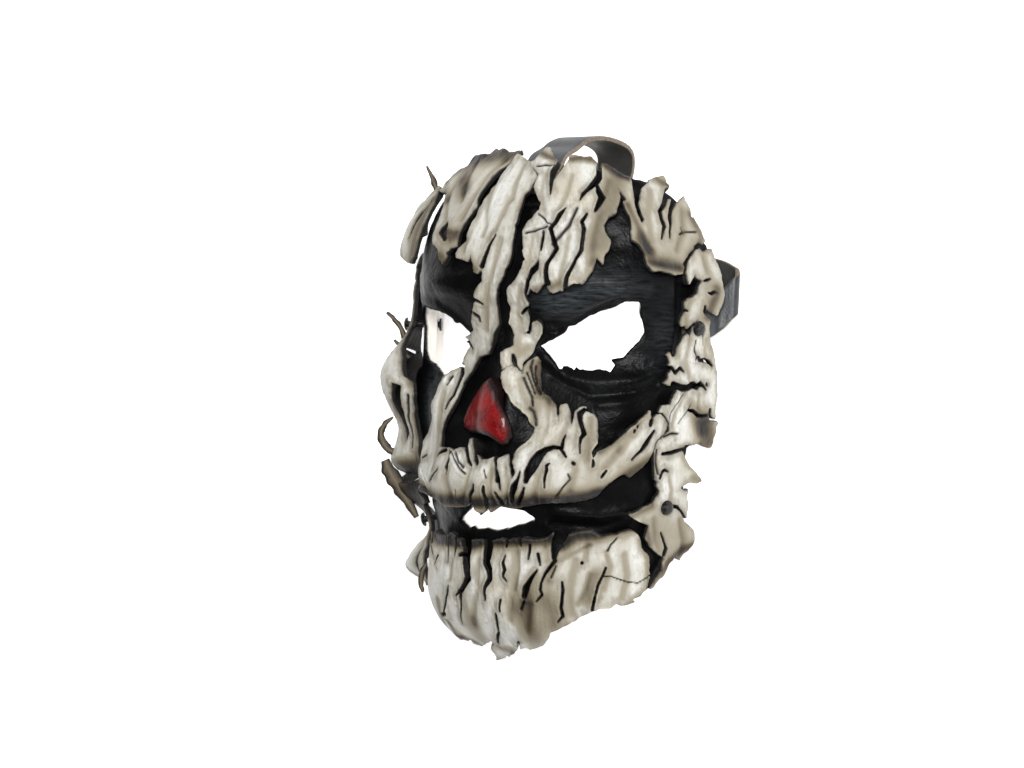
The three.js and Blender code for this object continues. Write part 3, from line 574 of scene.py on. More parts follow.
def black_leather():
    s = Shade("moulded_black_leather")
    clouds = s.noise(s.place(0.05), 5, 0.6)
    color = s.ramp(clouds, (0.3, (0.0010, 0.0010, 0.0011)), (0.6, (0.0028, 0.0029, 0.0031)),
                   (0.8, (0.008, 0.0086, 0.0096)))
    strokes = s.noise(s.flow(0.12, 0.8), 5, 0.7)
    # Grey brushing, partly painted sheen on the brow and cheeks
    brushed = s.math("MULTIPLY", s.value("brushed"), s.fade(strokes, 0.3, 0.7))
    color = s.mix(brushed, color, (0.055, 0.062, 0.068))
    color = s.mix(s.fade(s.value("under"), 0.3, 0.9), color, (0.75, 0.72, 0.68))
    grain = s.cells(s.place(0.75))
    fine = s.noise(s.place(1.4), 4, 0.6)
    creases = s.noise(s.place(0.16), 5, 0.6)
    normal = s.bump(creases, 0.45)
    normal = s.bump(s.math("MULTIPLY_ADD", grain, 0.5, s.math("MULTIPLY", fine, 0.4)), 0.16,
                    over=normal)
    roughness = s.fade(clouds, 0.3, 0.75, 0.3, 0.46)
    return s.finish(color, roughness, normal, IOR=1.45, Specular_IOR_Level=0.1)


def red_leather():
    s = Shade("red_nose_leather")
    clouds = s.noise(s.place(0.09), 4, 0.6)
    color = s.ramp(clouds, (0.3, (0.05, 0.0003, 0.0006)), (0.5, (0.15, 0.0006, 0.0012)),
                   (0.75, (0.27, 0.0015, 0.003)))
    dark = s.fade(s.math("ADD", s.value("edge"), s.math("MULTIPLY_ADD", clouds, -5, 2.5)), 3.8, 0.8)
    color = s.mix(dark, color, (0.010, 0.004, 0.004))
    grain = s.noise(s.place(0.5), 5, 0.6)
    normal = s.bump(grain, 0.8)
    return s.finish(color, s.fade(clouds, 0.3, 0.7, 0.24, 0.38), normal, Coat_Weight=0.2,
                    Coat_Roughness=0.1, Specular_IOR_Level=0.15)


def strap_leather():
    s = Shade("strap_leather")
    clouds = s.noise(s.place(0.06), 5, 0.6)
    color = s.ramp(clouds, (0.3, (0.012, 0.013, 0.015)), (0.6, (0.035, 0.038, 0.042)),
                   (0.8, (0.075, 0.08, 0.088)))
    color = s.mix(s.value("inner"), color, (0.006, 0.006, 0.006))
    raw = s.noise(s.place(0.8), 4, 0.6)
    color = s.mix(s.value("cut"), color, s.ramp(raw, (0.3, (0.07, 0.055, 0.04)),
                                                (0.7, (0.21, 0.16, 0.115))))
    grain = s.cells(s.place(0.9))
    normal = s.bump(s.math("MULTIPLY_ADD", grain, 0.6, s.math("MULTIPLY", raw, 0.4)), 0.15)
    return s.finish(color, s.fade(clouds, 0.3, 0.75, 0.42, 0.62), normal)


def rivet_metal():
    s = Shade("blackened_rivet")
    clouds = s.noise(s.place(0.7), 4, 0.6)
    color = s.ramp(clouds, (0.35, (0.006, 0.006, 0.007)), (0.7, (0.05, 0.047, 0.045)))
    return s.finish(color, s.fade(clouds, 0.3, 0.7, 0.3, 0.5), s.bump(clouds, 0.08), Metallic=0.7)


BONE, BLACK, RED = bone_leather(), black_leather(), red_leather()
STRAP, RIVET = strap_leather(), rivet_metal()


# Torn leather panels, and where they stand higher than the face
RAISED = [(-40, 42, 8, 8, 2.5), (-18, 66, 6, 12, 1.5), (-20, 37, 8, 8, 2), (-2, 50, 6, 20, 1.5),
          (-22, 3, 8, 8, 2), (34, 26, 12, 7, 2.5), (48, 52, 5, 8, 2), (14, 20, 8, 8, 1.2),
          (34, 74, 9, 6, 1.5), (68, 30, 8, 7, 3), (60, 46, 4, 8, 2), (80, 66, 8, 8, 1.5),
          (104, -42, 9, 8, 2.5), (76, -26, 6, 8, 2), (80, 8, 4, 8, 1.5), (103, 22, 6, 12, 1.5),
          (-40, -30, 6, 14, 2), (56, -52, 10, 8, 2.5), (41, -41, 5, 8, 2.5), (-59, -64, 8, 8, 2),
          (20, -66, 18, 6, 1.5), (-20, -66, 18, 6, 1.5), (94, -62, 6, 6, 4), (95, -92, 8, 8, 4.5),
          (72, -114, 8, 8, 3), (-30, -92, 12, 5, 1.5), (44, -88, 14, 5, 2), (58, -112, 8, 10, 2),
          (10, -134, 9, 7, 2.5), (-45, -138, 9, 7, 2)]
RIVET_PLACES = [(88, 3), (-88, 3), (74.4, -75.7), (-79, -88)]
RIVET_HOLE = 1.9
LEAST_WALL = 1.3
# Relief of a panel: height, and spread across and along the grain
ROLLS, RIDGES, WRINKLES = (0.36, 9, 30), (0.12, 5.5, 21), (0.13, 2.1, 6.5)
GRAIN_WANDER = (2.5, 13, 13)
# Lip beside a crack: height, distance from the crack, spread
CRACK_LIP, LIP_PLACE, LIP_SPREAD = 0.35, 0.9, 0.6
# The last value darkens the valleys: partly airbrush in the folds, partly painted shade
GROOVE_WIDTH, GROOVE_DEPTH, CREASE_LIP, VALLEY_DEPTH, VALLEY_STAIN_AND_SHADE = 0.35, 0.5, 0.5, 0.7, 0.3
# Curled edges: rise, reach into the panel, spread of the curled stretches, and their share
CURL, CURL_REACH, CURL_SPREAD, CURL_SHARE = 2.2, 1.8, 8, 0.05


def near_line(u, v, line, widths, reach):
    """Distance to a line less half its width, worked out only within reach of it."""
    points = np.array(line, float)
    low, high = points.min(0) - reach, points.max(0) + reach
    near = (u > low[0]) & (u < high[0]) & (v > low[1]) & (v < high[1])
    gap = np.full(u.shape, FAR)
    gap[near] = line_distance(u[near], v[near], line, widths=widths)
    return gap


def torn(u, v, seed):
    """The raggedness of a torn edge."""
    return ripples(u, v, [(0.28, 2.4, 2.4, seed), (0.16, 1, 1, seed + 1)])


def panel_field(panel, seed):
    def field(u, v):
        ragged = torn(u, v, seed)
        s = inside_distance(u, v, panel["outline"]) + ragged
        for line, widths in panel["cracks"]:
            s = np.minimum(s, near_line(u, v, line, widths, 8) + 0.4 * ragged)
        for hole in panel.get("holes", ()):
            s = np.minimum(s, -inside_distance(u, v, hole) + 0.5 * ragged)
        for x, y in RIVET_PLACES:
            s = np.minimum(s, np.hypot(u - x, v - y) - RIVET_HOLE)
        return s
    return field


def panel_relief(u, v, s, panel, seed):
    """Height over the plain surface, and the lines and tints that go with it."""
    turn = math.radians(panel.get("along", 0))
    across = u * math.cos(turn) + v * math.sin(turn) + ripples(u, v, [(*GRAIN_WANDER, seed + 5)])
    down = v * math.cos(turn) - u * math.sin(turn)
    height = ripples(across, down, [(*ROLLS, seed + 2)])
    for (rise, wide, long), layer in ((RIDGES, seed + 3), (WRINKLES, seed + 6)):
        height = height + rise * (1 - 2 * np.abs(ripple(across / wide, down / long, layer)))
    curled = ripple(u / CURL_SPREAD, v / CURL_SPREAD, seed + 4) + CURL_SHARE
    lift = np.maximum(curled, 0) * np.exp(-s / CURL_REACH)
    groove, stain = np.zeros(u.shape), np.zeros(u.shape)
    for line, widths in panel["cracks"]:
        gap = np.maximum(near_line(u, v, line, widths, 4), 0)
        groove = np.maximum(groove, np.exp(-((gap / GROOVE_WIDTH) ** 2)))
        height += CRACK_LIP * np.exp(-(((gap - LIP_PLACE) / LIP_SPREAD) ** 2))
    for line, width in panel.get("creases", ()):
        gap = near_line(u, v, line, None, 6 * width)
        crease = np.exp(-((gap / width) ** 2))
        groove = np.maximum(groove, 0.9 * crease)
        height += CREASE_LIP * (np.exp(-(((gap - 2 * width) / width) ** 2)) - crease)
    # Valleys sink, and darken with painted shade that is partly airbrush
    for line, width in panel.get("valleys", ()):
        valley = np.exp(-((near_line(u, v, line, None, 3 * width) / width) ** 2))
        height -= VALLEY_DEPTH * valley
        stain += VALLEY_STAIN_AND_SHADE * valley
    # Stain lists: airbrushed stains, and in their broad faint entries painted shade
    for line, width, amount in panel.get("stains_and_shade", ()):
        stain += amount * np.exp(-((near_line(u, v, line, None, 3 * width) / width) ** 2))
    tints = {"groove": groove, "stain": stain, "lift": lift, "height": height}
    return height + CURL * lift - GROOVE_DEPTH * groove, tints


def on_photo(panel):
    """The panel with its lines moved from pixels of the photograph to places on the face."""
    def place(line):
        return seen_at(line, panel_middle, PANEL_GRID)

    moved = dict(panel)
    moved["outline"] = panel.get("hidden", []) + place(panel["edge"])
    for key in ("cracks", "creases", "valleys", "stains_and_shade"):
        moved[key] = [(place(line), *rest) for line, *rest in panel.get(key, ())]
    return moved


def panel_middle(u, v):
    return swell(RAISED, u, v)


def make_panel(name, panel, seed):
    """One torn panel over the nodes that it stands for."""
    raised = panel.get("raised", RAISED)
    field = panel_field(panel, seed)
    points = np.array(panel["outline"], float)

    def top(u, v, s):
        return swell(raised, u, v) + panel_relief(u, v, s, panel, seed)[0]

    def bottom(u, v, s):
        return np.minimum(swell(raised, u, v) - SKIN_WALL + LAYER_CLEARANCE, top(u, v, s) - LEAST_WALL)

    def extra(u, v, s):
        return panel_relief(u, v, s, panel, seed)[1]

    obj = leather_sheet(name, field, points.min(0), points.max(0), top, bottom, BONE,
                        PANEL_CELL, extra=extra, along=panel.get("along", 0))
    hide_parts(*panel["stands_for"])


PANEL_GRID = facing_grid(panel_middle)

# Panels that the photograph shows, in its pixels: outline, cracks with their widths in mm,
# creases, valleys, airbrushed stains and broad painted shade. Hidden outline points are in mm on the
# face
SEEN_PANELS = {}
SEEN_PANELS["torn_forehead_left"] = dict(
    stands_for=("skin_forehead_left",), along=-24,
    hidden=[(-60, 75), (-66, 73), (-69, 69), (-67, 65)],
    edge=[(445, 193), (443, 204), (436, 226), (432, 244), (437, 249), (440, 259), (443, 264),
          (448, 256), (446, 253), (451, 248), (457, 247), (459, 233), (469, 216), (477, 206),
          (477, 199), (480, 193), (493, 176), (502, 168), (517, 156), (522, 150), (519, 149),
          (510, 151), (496, 149), (490, 154), (485, 156), (477, 156), (467, 166)],
    cracks=[
        ([(445, 226), (442, 231), (445, 239)], (3, 3, 1.6)),
    ],
    valleys=[
        ([(458, 180), (449, 194), (445, 220), (446, 231), (456, 233)], 1.6),
        ([(505, 160), (487, 176), (474, 196), (462, 218)], 1.8),
        ([(480, 160), (470, 175), (462, 200)], 1.5),
    ],
    stains_and_shade=[
        ([(463, 178), (465, 190)], 3.5, 0.7),
        ([(447, 172), (470, 162), (490, 155), (520, 153)], 5, 1.1),
        ([(443, 232), (450, 238), (457, 236)], 3, 0.6),
        ([(440, 256), (444, 262)], 3, 0.7),
        ([(448, 175), (446, 200)], 2.5, 0.6),
        # painted shade: a broad faint darkening where the panel turns away from the light
        ([(458, 182), (461, 215), (450, 246)], 12, 0.28),
    ])
SEEN_PANELS["torn_brow_left"] = dict(
    stands_for=("skin_forehead_right", "skin_temple_left"), along=18,
    edge=[(530, 164), (543, 150), (548, 146), (551, 148), (556, 160), (560, 162), (566, 156),
          (572, 156), (583, 158), (592, 158), (600, 168), (602, 166), (605, 166), (617, 172),
          (631, 178), (633, 185), (635, 206), (642, 222), (644, 219), (639, 203), (640, 195),
          (642, 188), (648, 181), (648, 179), (664, 175), (665, 182), (669, 187), (665, 197),
          (676, 203), (684, 196), (691, 209), (692, 217), (694, 216), (701, 229), (706, 241),
          (703, 244), (697, 242), (694, 246), (693, 250), (687, 258), (684, 264), (685, 269),
          (682, 274), (675, 275), (660, 271), (655, 272), (650, 269), (647, 264), (644, 252),
          (640, 246), (632, 240), (631, 232), (632, 222), (630, 215), (624, 205), (622, 202),
          (626, 200), (618, 189), (620, 197), (620, 202), (616, 213), (609, 217), (606, 221),
          (604, 226), (606, 233), (610, 240), (610, 246), (609, 250), (605, 254), (604, 264),
          (601, 264), (597, 258), (592, 271), (583, 284), (575, 283), (569, 286), (565, 289),
          (553, 294), (549, 292), (547, 286), (548, 282), (545, 283), (537, 294), (533, 292),
          (530, 289), (527, 295), (529, 282), (533, 274), (538, 269), (540, 251), (537, 262),
          (530, 269), (527, 276), (524, 297), (529, 304), (528, 311), (530, 318), (528, 331),
          (524, 333), (530, 334), (533, 322), (537, 320), (541, 322), (543, 327), (543, 331),
          (535, 346), (534, 352), (530, 357), (526, 360), (524, 364), (522, 371), (518, 366),
          (512, 365), (507, 367), (501, 371), (500, 360), (500, 352), (513, 345), (514, 335),
          (510, 323), (511, 310), (507, 300), (506, 290), (515, 279), (522, 268), (525, 259),
          (523, 251), (522, 231), (526, 222), (533, 216), (539, 209), (540, 202), (533, 187),
          (535, 184), (538, 175)],
    cracks=[
        ([(565, 160), (561, 166), (555, 174), (552, 182), (551, 195)], (5, 4.6, 4.4, 1.6, 0.3)),
        ([(599, 168), (599, 178), (595, 184), (588, 190), (583, 194), (580, 200)], (2, 2.6, 2.8,
         1.4, 1.2, 0.3)),
        ([(597, 186), (599, 192), (602, 198), (599, 204), (595, 211)], (0.6, 2.6, 2.6, 2, 0.5)),
        ([(566, 209), (560, 216), (556, 223), (551, 229), (553, 236), (555, 244), (557, 249),
         (551, 258), (547, 264), (546, 272), (547, 281), (548, 283)], (0.3, 1.6, 1.2, 1.3, 1.2,
         1.4, 1.2, 1, 1.2, 1.4, 1.8, 2)),
        ([(587, 214), (582, 222), (584, 229), (583, 236), (581, 251), (576, 259), (572, 269),
         (567, 279), (566, 289)], (0.5, 1.1, 1.2, 1, 1, 0.8, 1, 1.4, 1.6)),
        ([(544, 232), (543, 239), (541, 250)], (0.5, 0.7, 0.3)),
        ([(667, 192), (664, 204), (660, 211), (662, 219), (664, 227), (663, 233), (662, 239)],
         (2.4, 1.6, 1.1, 1.2, 1.1, 0.6, 0.2)),
        ([(674, 201), (671, 209), (670, 216), (670, 223), (670, 230), (670, 238)], (2.4, 1.4, 1.2,
         1, 0.6, 0.2)),
        ([(513, 355), (514, 360), (516, 366)], (0.6, 1.5, 0.6)),
        ([(528, 308), (525, 310), (522, 314)], (0.6, 0.9, 0.5)),
    ],
    creases=[
        ([(539, 214), (545, 219), (547, 223), (553, 225)], 0.5),
        ([(680, 234), (685, 232), (690, 232), (696, 232)], 0.5),
        ([(681, 228), (683, 232)], 0.6),
        ([(577, 208), (569, 225), (560, 236), (553, 244)], 0.9),
        ([(526, 233), (537, 230), (548, 227)], 0.6),
        ([(537, 166), (546, 165), (555, 166)], 0.7),
    ],
    valleys=[
        ([(545, 175), (541, 195), (545, 215)], 1.8),
        ([(572, 175), (566, 195), (560, 208)], 1.5),
        ([(608, 180), (600, 205), (593, 235), (590, 262)], 2),
        ([(570, 225), (566, 250), (560, 275)], 1.6),
        ([(534, 230), (530, 250), (527, 268)], 1.4),
        ([(650, 190), (648, 215), (652, 240)], 1.8),
        ([(682, 210), (683, 230), (677, 250)], 1.6),
        ([(520, 285), (518, 305), (521, 330)], 1.6),
        ([(650, 262), (665, 266), (680, 268)], 1.4),
    ],
    stains_and_shade=[
        ([(618, 178), (611, 205), (600, 245)], 6.5, 0.65),
        ([(638, 240), (655, 262), (682, 268)], 3.5, 0.6),
        ([(540, 152), (560, 162), (592, 160), (628, 178)], 1.7, 0.9),
        ([(690, 215), (702, 238), (690, 256)], 2.5, 0.6),
        ([(655, 178), (667, 186)], 2, 0.6),
        ([(515, 342), (520, 352), (528, 348)], 3, 0.5),
        ([(596, 262), (588, 278)], 2.5, 0.5),
        ([(560, 283), (548, 288), (535, 290)], 2, 0.7),
        ([(628, 205), (640, 230), (650, 250)], 2, 0.7),
        # painted shade: a broad faint darkening where the panel turns away from the light
        ([(676, 205), (680, 235), (668, 262)], 14, 0.36),
    ])
SEEN_PANELS["torn_muzzle"] = dict(
    stands_for=("skin_forehead_middle", "skin_muzzle"), along=-8,
    edge=[(519, 156), (524, 158), (530, 162), (538, 175), (536, 178), (530, 190), (525, 194),
          (522, 202), (510, 259), (497, 290), (496, 305), (498, 323), (495, 333), (487, 355),
          (479, 357), (464, 381), (455, 403), (443, 424), (441, 432), (440, 447), (448, 447),
          (455, 450), (459, 447), (466, 448), (467, 458), (469, 452), (469, 439), (473, 438),
          (474, 461), (477, 467), (479, 463), (477, 453), (482, 459), (488, 459), (494, 456),
          (495, 482), (498, 484), (500, 491), (500, 480), (498, 470), (498, 458), (510, 454),
          (509, 465), (512, 479), (514, 475), (514, 470), (512, 462), (514, 453), (516, 449),
          (524, 444), (530, 438), (535, 428), (529, 421), (525, 415), (514, 406), (510, 400),
          (500, 378), (501, 372), (507, 367), (512, 365), (518, 367), (522, 373), (524, 366),
          (527, 362), (537, 356), (541, 360), (542, 390), (545, 394), (550, 397), (556, 405),
          (558, 421), (560, 405), (563, 404), (567, 404), (570, 411), (572, 424), (575, 411),
          (579, 408), (583, 406), (587, 407), (585, 411), (594, 414), (597, 418), (598, 425),
          (598, 443), (592, 452), (592, 468), (594, 466), (594, 460), (597, 452), (612, 445),
          (620, 438), (632, 426), (648, 413), (648, 410), (651, 411), (652, 417), (650, 421),
          (653, 422), (654, 417), (657, 414), (661, 414), (665, 418), (668, 423), (668, 430),
          (664, 435), (658, 439), (655, 444), (654, 452), (648, 461), (634, 475), (630, 478),
          (624, 474), (612, 481), (605, 487), (597, 497), (580, 502), (570, 503), (560, 502),
          (540, 504), (522, 508), (514, 509), (497, 506), (492, 512), (489, 511), (487, 505),
          (484, 512), (480, 515), (476, 511), (473, 506), (469, 504), (467, 507), (460, 508),
          (443, 506), (438, 501), (426, 493), (421, 487), (421, 478), (421, 462), (425, 443),
          (431, 420), (436, 392), (442, 377), (452, 370), (461, 366), (463, 357), (467, 349),
          (470, 347), (465, 338), (473, 330), (470, 322), (474, 300), (473, 294), (475, 289),
          (481, 281), (482, 269), (477, 274), (473, 272), (470, 257), (467, 262), (457, 258),
          (455, 253), (457, 248), (460, 246), (465, 240), (477, 211), (487, 193), (502, 174)],
    cracks=[
        ([(495, 235), (490, 244), (486, 254), (482, 266)], (0.3, 0.8, 1.2, 1.8)),
        ([(462, 366), (462, 374), (458, 384), (454, 394), (450, 401), (446, 409)], (1.6, 1.8, 1,
         0.8, 0.7, 0.4)),
        ([(474, 300), (479, 302), (482, 304)], (1.2, 1, 0.6)),
        ([(474, 314), (479, 317), (480, 321)], (1.2, 1, 0.6)),
        ([(466, 338), (470, 344), (473, 349)], (0.8, 1, 0.6)),
        ([(430, 481), (434, 475), (438, 469)], (0.8, 1, 0.3)),
        ([(446, 466), (448, 459), (450, 452)], (1.8, 1.4, 1)),
        ([(445, 474), (447, 467)], (0.3, 0.8)),
        ([(437, 456), (441, 452), (446, 450)], (0.3, 0.9, 0.8)),
        ([(424, 458), (429, 455)], (0.3, 0.6)),
        ([(467, 448), (468, 456), (469, 461), (472, 466)], (1.6, 1.1, 0.9, 0.3)),
        ([(475, 484), (473, 490), (470, 495), (470, 503)], (0.3, 1, 1.1, 1.4)),
        ([(485, 486), (484, 492), (486, 499), (486, 506)], (0.5, 1.1, 1.2, 1.6)),
        ([(495, 493), (498, 498), (502, 504)], (0.6, 1, 1.2)),
        ([(520, 472), (518, 479), (514, 487), (512, 494), (512, 502)], (0.3, 0.7, 2.6, 2, 1)),
        ([(524, 488), (522, 495), (518, 504)], (0.4, 1.1, 1.2)),
        ([(526, 481), (529, 472), (534, 463), (540, 455), (546, 450), (553, 447), (560, 448),
         (563, 452), (566, 457)], (1.6, 3.8, 4.2, 3.4, 1.9, 1.1, 1, 0.6, 0.3)),
        ([(565, 436), (563, 440), (562, 448)], (0.2, 0.7, 1.1)),
        ([(550, 464), (547, 466), (547, 472), (545, 478), (545, 488)], (0.3, 0.9, 0.9, 0.6, 0.3)),
        ([(584, 410), (580, 414), (580, 420), (582, 427), (584, 434), (581, 438), (580, 444),
         (580, 453)], (1.4, 2, 1.4, 1.4, 1.6, 1, 0.6, 0.4)),
        ([(606, 471), (603, 475), (601, 478)], (0.6, 0.8, 0.3)),
        ([(651, 422), (650, 425)], (1.4, 1.2)),
        ([(654, 431), (650, 437), (646, 444), (641, 451), (636, 455), (632, 460)], (0.6, 1.2, 1.6,
         0.9, 0.4, 0.2)),
        ([(573, 463), (574, 464)], (0.9, 0.9)),
        ([(634, 430), (634, 432)], (0.7, 0.7)),
        ([(637, 426), (637, 427)], (0.7, 0.7)),
    ],
    creases=[
        ([(420, 470), (422, 480), (426, 488), (431, 495)], 0.6),
        ([(422, 468), (424, 478), (428, 485)], 0.5),
        ([(430, 472), (433, 463)], 0.6),
        ([(452, 452), (455, 460), (460, 469), (465, 474)], 0.6),
        ([(456, 453), (459, 462), (464, 468)], 0.6),
        ([(455, 490), (456, 500)], 0.5),
        ([(568, 474), (570, 479), (563, 487), (556, 497)], 0.5),
        ([(533, 360), (531, 367), (533, 378), (537, 388), (541, 394)], 0.7),
        ([(536, 366), (535, 375), (537, 384)], 0.6),
        ([(524, 378), (528, 388), (532, 397), (533, 406)], 0.7),
        ([(527, 373), (531, 383), (535, 394)], 0.6),
        ([(530, 408), (534, 412), (536, 420), (536, 425)], 0.8),
        ([(484, 470), (486, 478)], 0.5),
        ([(449, 380), (452, 377)], 1.2),
        ([(447, 384), (449, 381)], 1),
    ],
    valleys=[
        ([(500, 173), (493, 187), (489, 197), (487, 211), (486, 226), (482, 236)], 1.5),
        ([(509, 200), (502, 214), (495, 229), (487, 240)], 1.4),
        ([(524, 165), (516, 182), (512, 198)], 1.4),
        ([(500, 240), (496, 258), (490, 278), (486, 300), (486, 330)], 1.6),
        ([(466, 240), (462, 252)], 1.2),
        ([(445, 385), (440, 410), (437, 440), (432, 470)], 1.8),
        ([(452, 425), (448, 450), (446, 475), (452, 498)], 1.8),
        ([(470, 470), (466, 485), (462, 500)], 1.4),
        ([(520, 380), (524, 398), (530, 408)], 1.5),
        ([(548, 400), (548, 425), (540, 445)], 1.6),
        ([(566, 425), (560, 440), (552, 450)], 1.5),
        ([(590, 420), (588, 440), (586, 460)], 1.5),
        ([(540, 470), (535, 490), (533, 502)], 1.5),
        ([(575, 470), (570, 490)], 1.7),
        ([(620, 448), (612, 460), (604, 468)], 1.4),
        ([(640, 425), (630, 440), (620, 452)], 1.4),
        ([(491, 470), (489, 485), (491, 500)], 1.2),
        ([(505, 468), (507, 485), (507, 500)], 1.2),
    ],
    stains_and_shade=[
        ([(541, 362), (543, 390), (556, 404)], 3, 0.85),
        ([(425, 491), (440, 500), (480, 503), (530, 503), (597, 497)], 3.6, 1.2),
        ([(440, 480), (480, 490), (540, 490), (590, 485)], 7, 0.22),
        ([(600, 497), (625, 478), (650, 460)], 3.4, 0.95),
        ([(525, 362), (535, 380), (537, 405), (533, 422)], 4, 0.5),
        ([(470, 262), (475, 270)], 2, 0.6),
        ([(466, 338), (465, 350), (462, 362)], 2, 0.6),
        ([(600, 452), (620, 440), (646, 416)], 1.6, 0.5),
        ([(505, 290), (502, 312), (500, 340)], 2, 1.3),
        ([(442, 376), (455, 368)], 2, 0.5),
        ([(418, 478), (424, 490)], 3.5, 0.8),
        ([(478, 270), (484, 300), (480, 345)], 6, 0.2),
        ([(600, 425), (606, 450), (620, 460)], 8, 0.25),
        ([(575, 440), (590, 470)], 7, 0.18),
        ([(480, 445), (482, 460)], 1.5, 0.5),
    ])
SEEN_PANELS["torn_side_left"] = dict(
    stands_for=("skin_side_left", "skin_jaw_left"), along=6,
    edge=[(700, 248), (703, 251), (712, 248), (715, 258), (720, 268), (724, 293), (722, 301),
          (718, 314), (714, 319), (710, 320), (710, 338), (718, 380), (718, 396), (716, 410),
          (716, 418), (718, 421), (718, 424), (716, 427), (711, 447), (708, 448), (699, 444),
          (691, 446), (689, 444), (685, 445), (681, 449), (687, 461), (699, 476), (702, 481),
          (697, 484), (693, 482), (689, 484), (689, 507), (686, 524), (694, 529), (696, 533),
          (696, 538), (694, 544), (690, 550), (680, 560), (675, 557), (672, 558), (663, 576),
          (658, 582), (647, 590), (661, 570), (664, 558), (658, 554), (649, 545), (646, 540),
          (646, 536), (648, 526), (641, 523), (626, 514), (634, 512), (653, 503), (660, 491),
          (657, 486), (658, 482), (655, 480), (654, 452), (656, 444), (658, 440), (664, 436),
          (668, 430), (668, 423), (666, 417), (662, 413), (658, 413), (662, 405), (670, 404),
          (676, 391), (674, 386), (668, 386), (663, 383), (668, 379), (668, 374), (671, 370),
          (667, 366), (669, 362), (667, 357), (665, 355), (669, 352), (673, 357), (675, 356),
          (676, 350), (681, 341), (684, 336), (688, 334), (690, 338), (692, 329), (698, 320),
          (687, 329), (684, 326), (681, 327), (680, 322), (685, 302), (688, 299), (693, 297),
          (697, 292), (702, 281), (698, 279), (695, 275), (692, 281), (688, 284), (686, 279),
          (685, 272), (688, 260), (695, 250)],
    cracks=[
        ([(674, 385), (681, 388), (687, 388), (693, 385), (697, 387), (700, 384), (703, 386),
         (706, 390)], (2.6, 2.6, 2.2, 2.6, 2, 2, 0.9, 0.3)),
        ([(665, 368), (672, 368), (675, 373), (680, 368), (684, 372)], (1.2, 1, 1, 0.8, 0.3)),
        ([(704, 281), (707, 280), (710, 279)], (0.3, 0.7, 0.3)),
        ([(707, 293), (709, 294), (712, 292), (714, 293)], (0.4, 0.9, 0.9, 0.4)),
        ([(682, 312), (685, 310), (688, 311)], (0.8, 0.6, 0.3)),
        ([(704, 306), (705, 312), (709, 315), (715, 320)], (0.6, 1.4, 2.2, 3.4)),
        ([(696, 356), (698, 360), (704, 360), (708, 362), (712, 366)], (0.4, 1.1, 1.4, 1, 0.3)),
        ([(688, 410), (692, 411), (696, 415), (700, 416), (704, 415)], (0.8, 1.2, 1.4, 1.1, 0.8)),
        ([(708, 410), (707, 413), (708, 418), (712, 420), (718, 420)], (1.8, 1.4, 1.4, 0.9, 0.8)),
        ([(662, 454), (670, 453), (676, 451), (682, 449)], (0.8, 1.1, 1, 0.9)),
        ([(660, 478), (662, 472), (665, 470), (669, 472)], (0.9, 1, 0.8, 0.3)),
        ([(682, 488), (685, 488), (690, 486)], (0.5, 1.8, 2.6)),
        ([(672, 506), (677, 507), (680, 510), (684, 516), (686, 521)], (0.8, 1, 0.8, 0.8, 1.2)),
        ([(661, 533), (664, 541), (666, 548), (664, 555)], (0.3, 0.6, 0.9, 1.2)),
        ([(706, 384), (707, 385)], (1, 1)),
    ],
    creases=[
        ([(684, 393), (678, 403), (671, 413), (669, 421)], 0.45),
        ([(664, 437), (670, 434), (678, 434)], 0.7),
        ([(657, 450), (656, 462), (658, 474)], 0.7),
        ([(696, 340), (694, 350), (695, 360)], 0.5),
        ([(690, 405), (684, 415), (678, 424)], 0.4),
        ([(700, 330), (703, 336), (703, 345)], 0.5),
    ],
    valleys=[
        ([(704, 258), (708, 272)], 1.6),
        ([(690, 340), (686, 360), (690, 378)], 1.8),
        ([(706, 340), (704, 358)], 1.4),
        ([(684, 395), (676, 412), (672, 428), (676, 440)], 1.6),
        ([(700, 395), (698, 408)], 1.4),
        ([(668, 470), (672, 490), (670, 505)], 1.7),
        ([(686, 455), (690, 468)], 1.4),
        ([(654, 520), (656, 540), (660, 552)], 1.6),
        ([(680, 520), (684, 540), (680, 556)], 1.6),
    ],
    stains_and_shade=[
        ([(704, 420), (708, 442)], 5.5, 1),
        ([(716, 290), (708, 316)], 3.5, 0.7),
        ([(690, 402), (700, 432)], 3.5, 0.5),
        ([(664, 384), (671, 386)], 2, 0.5),
        ([(694, 478), (700, 482)], 2.5, 0.6),
        ([(652, 586), (670, 560), (694, 545)], 2, 0.7),
        ([(645, 527), (650, 545)], 2, 0.5),
        ([(630, 516), (652, 506)], 2, 0.6),
        ([(690, 300), (684, 312), (686, 325)], 2, 0.5),
        ([(700, 250), (713, 250)], 1.6, 0.5),
        ([(680, 448), (700, 446)], 1.6, 0.7),
        # painted shade: a broad faint darkening where the panel turns away from the light
        ([(703, 262), (710, 290), (700, 318)], 9, 0.27),
        # painted shade: a broad faint darkening where the panel turns away from the light
        ([(660, 528), (680, 536), (676, 552)], 14, 0.4),
    ])
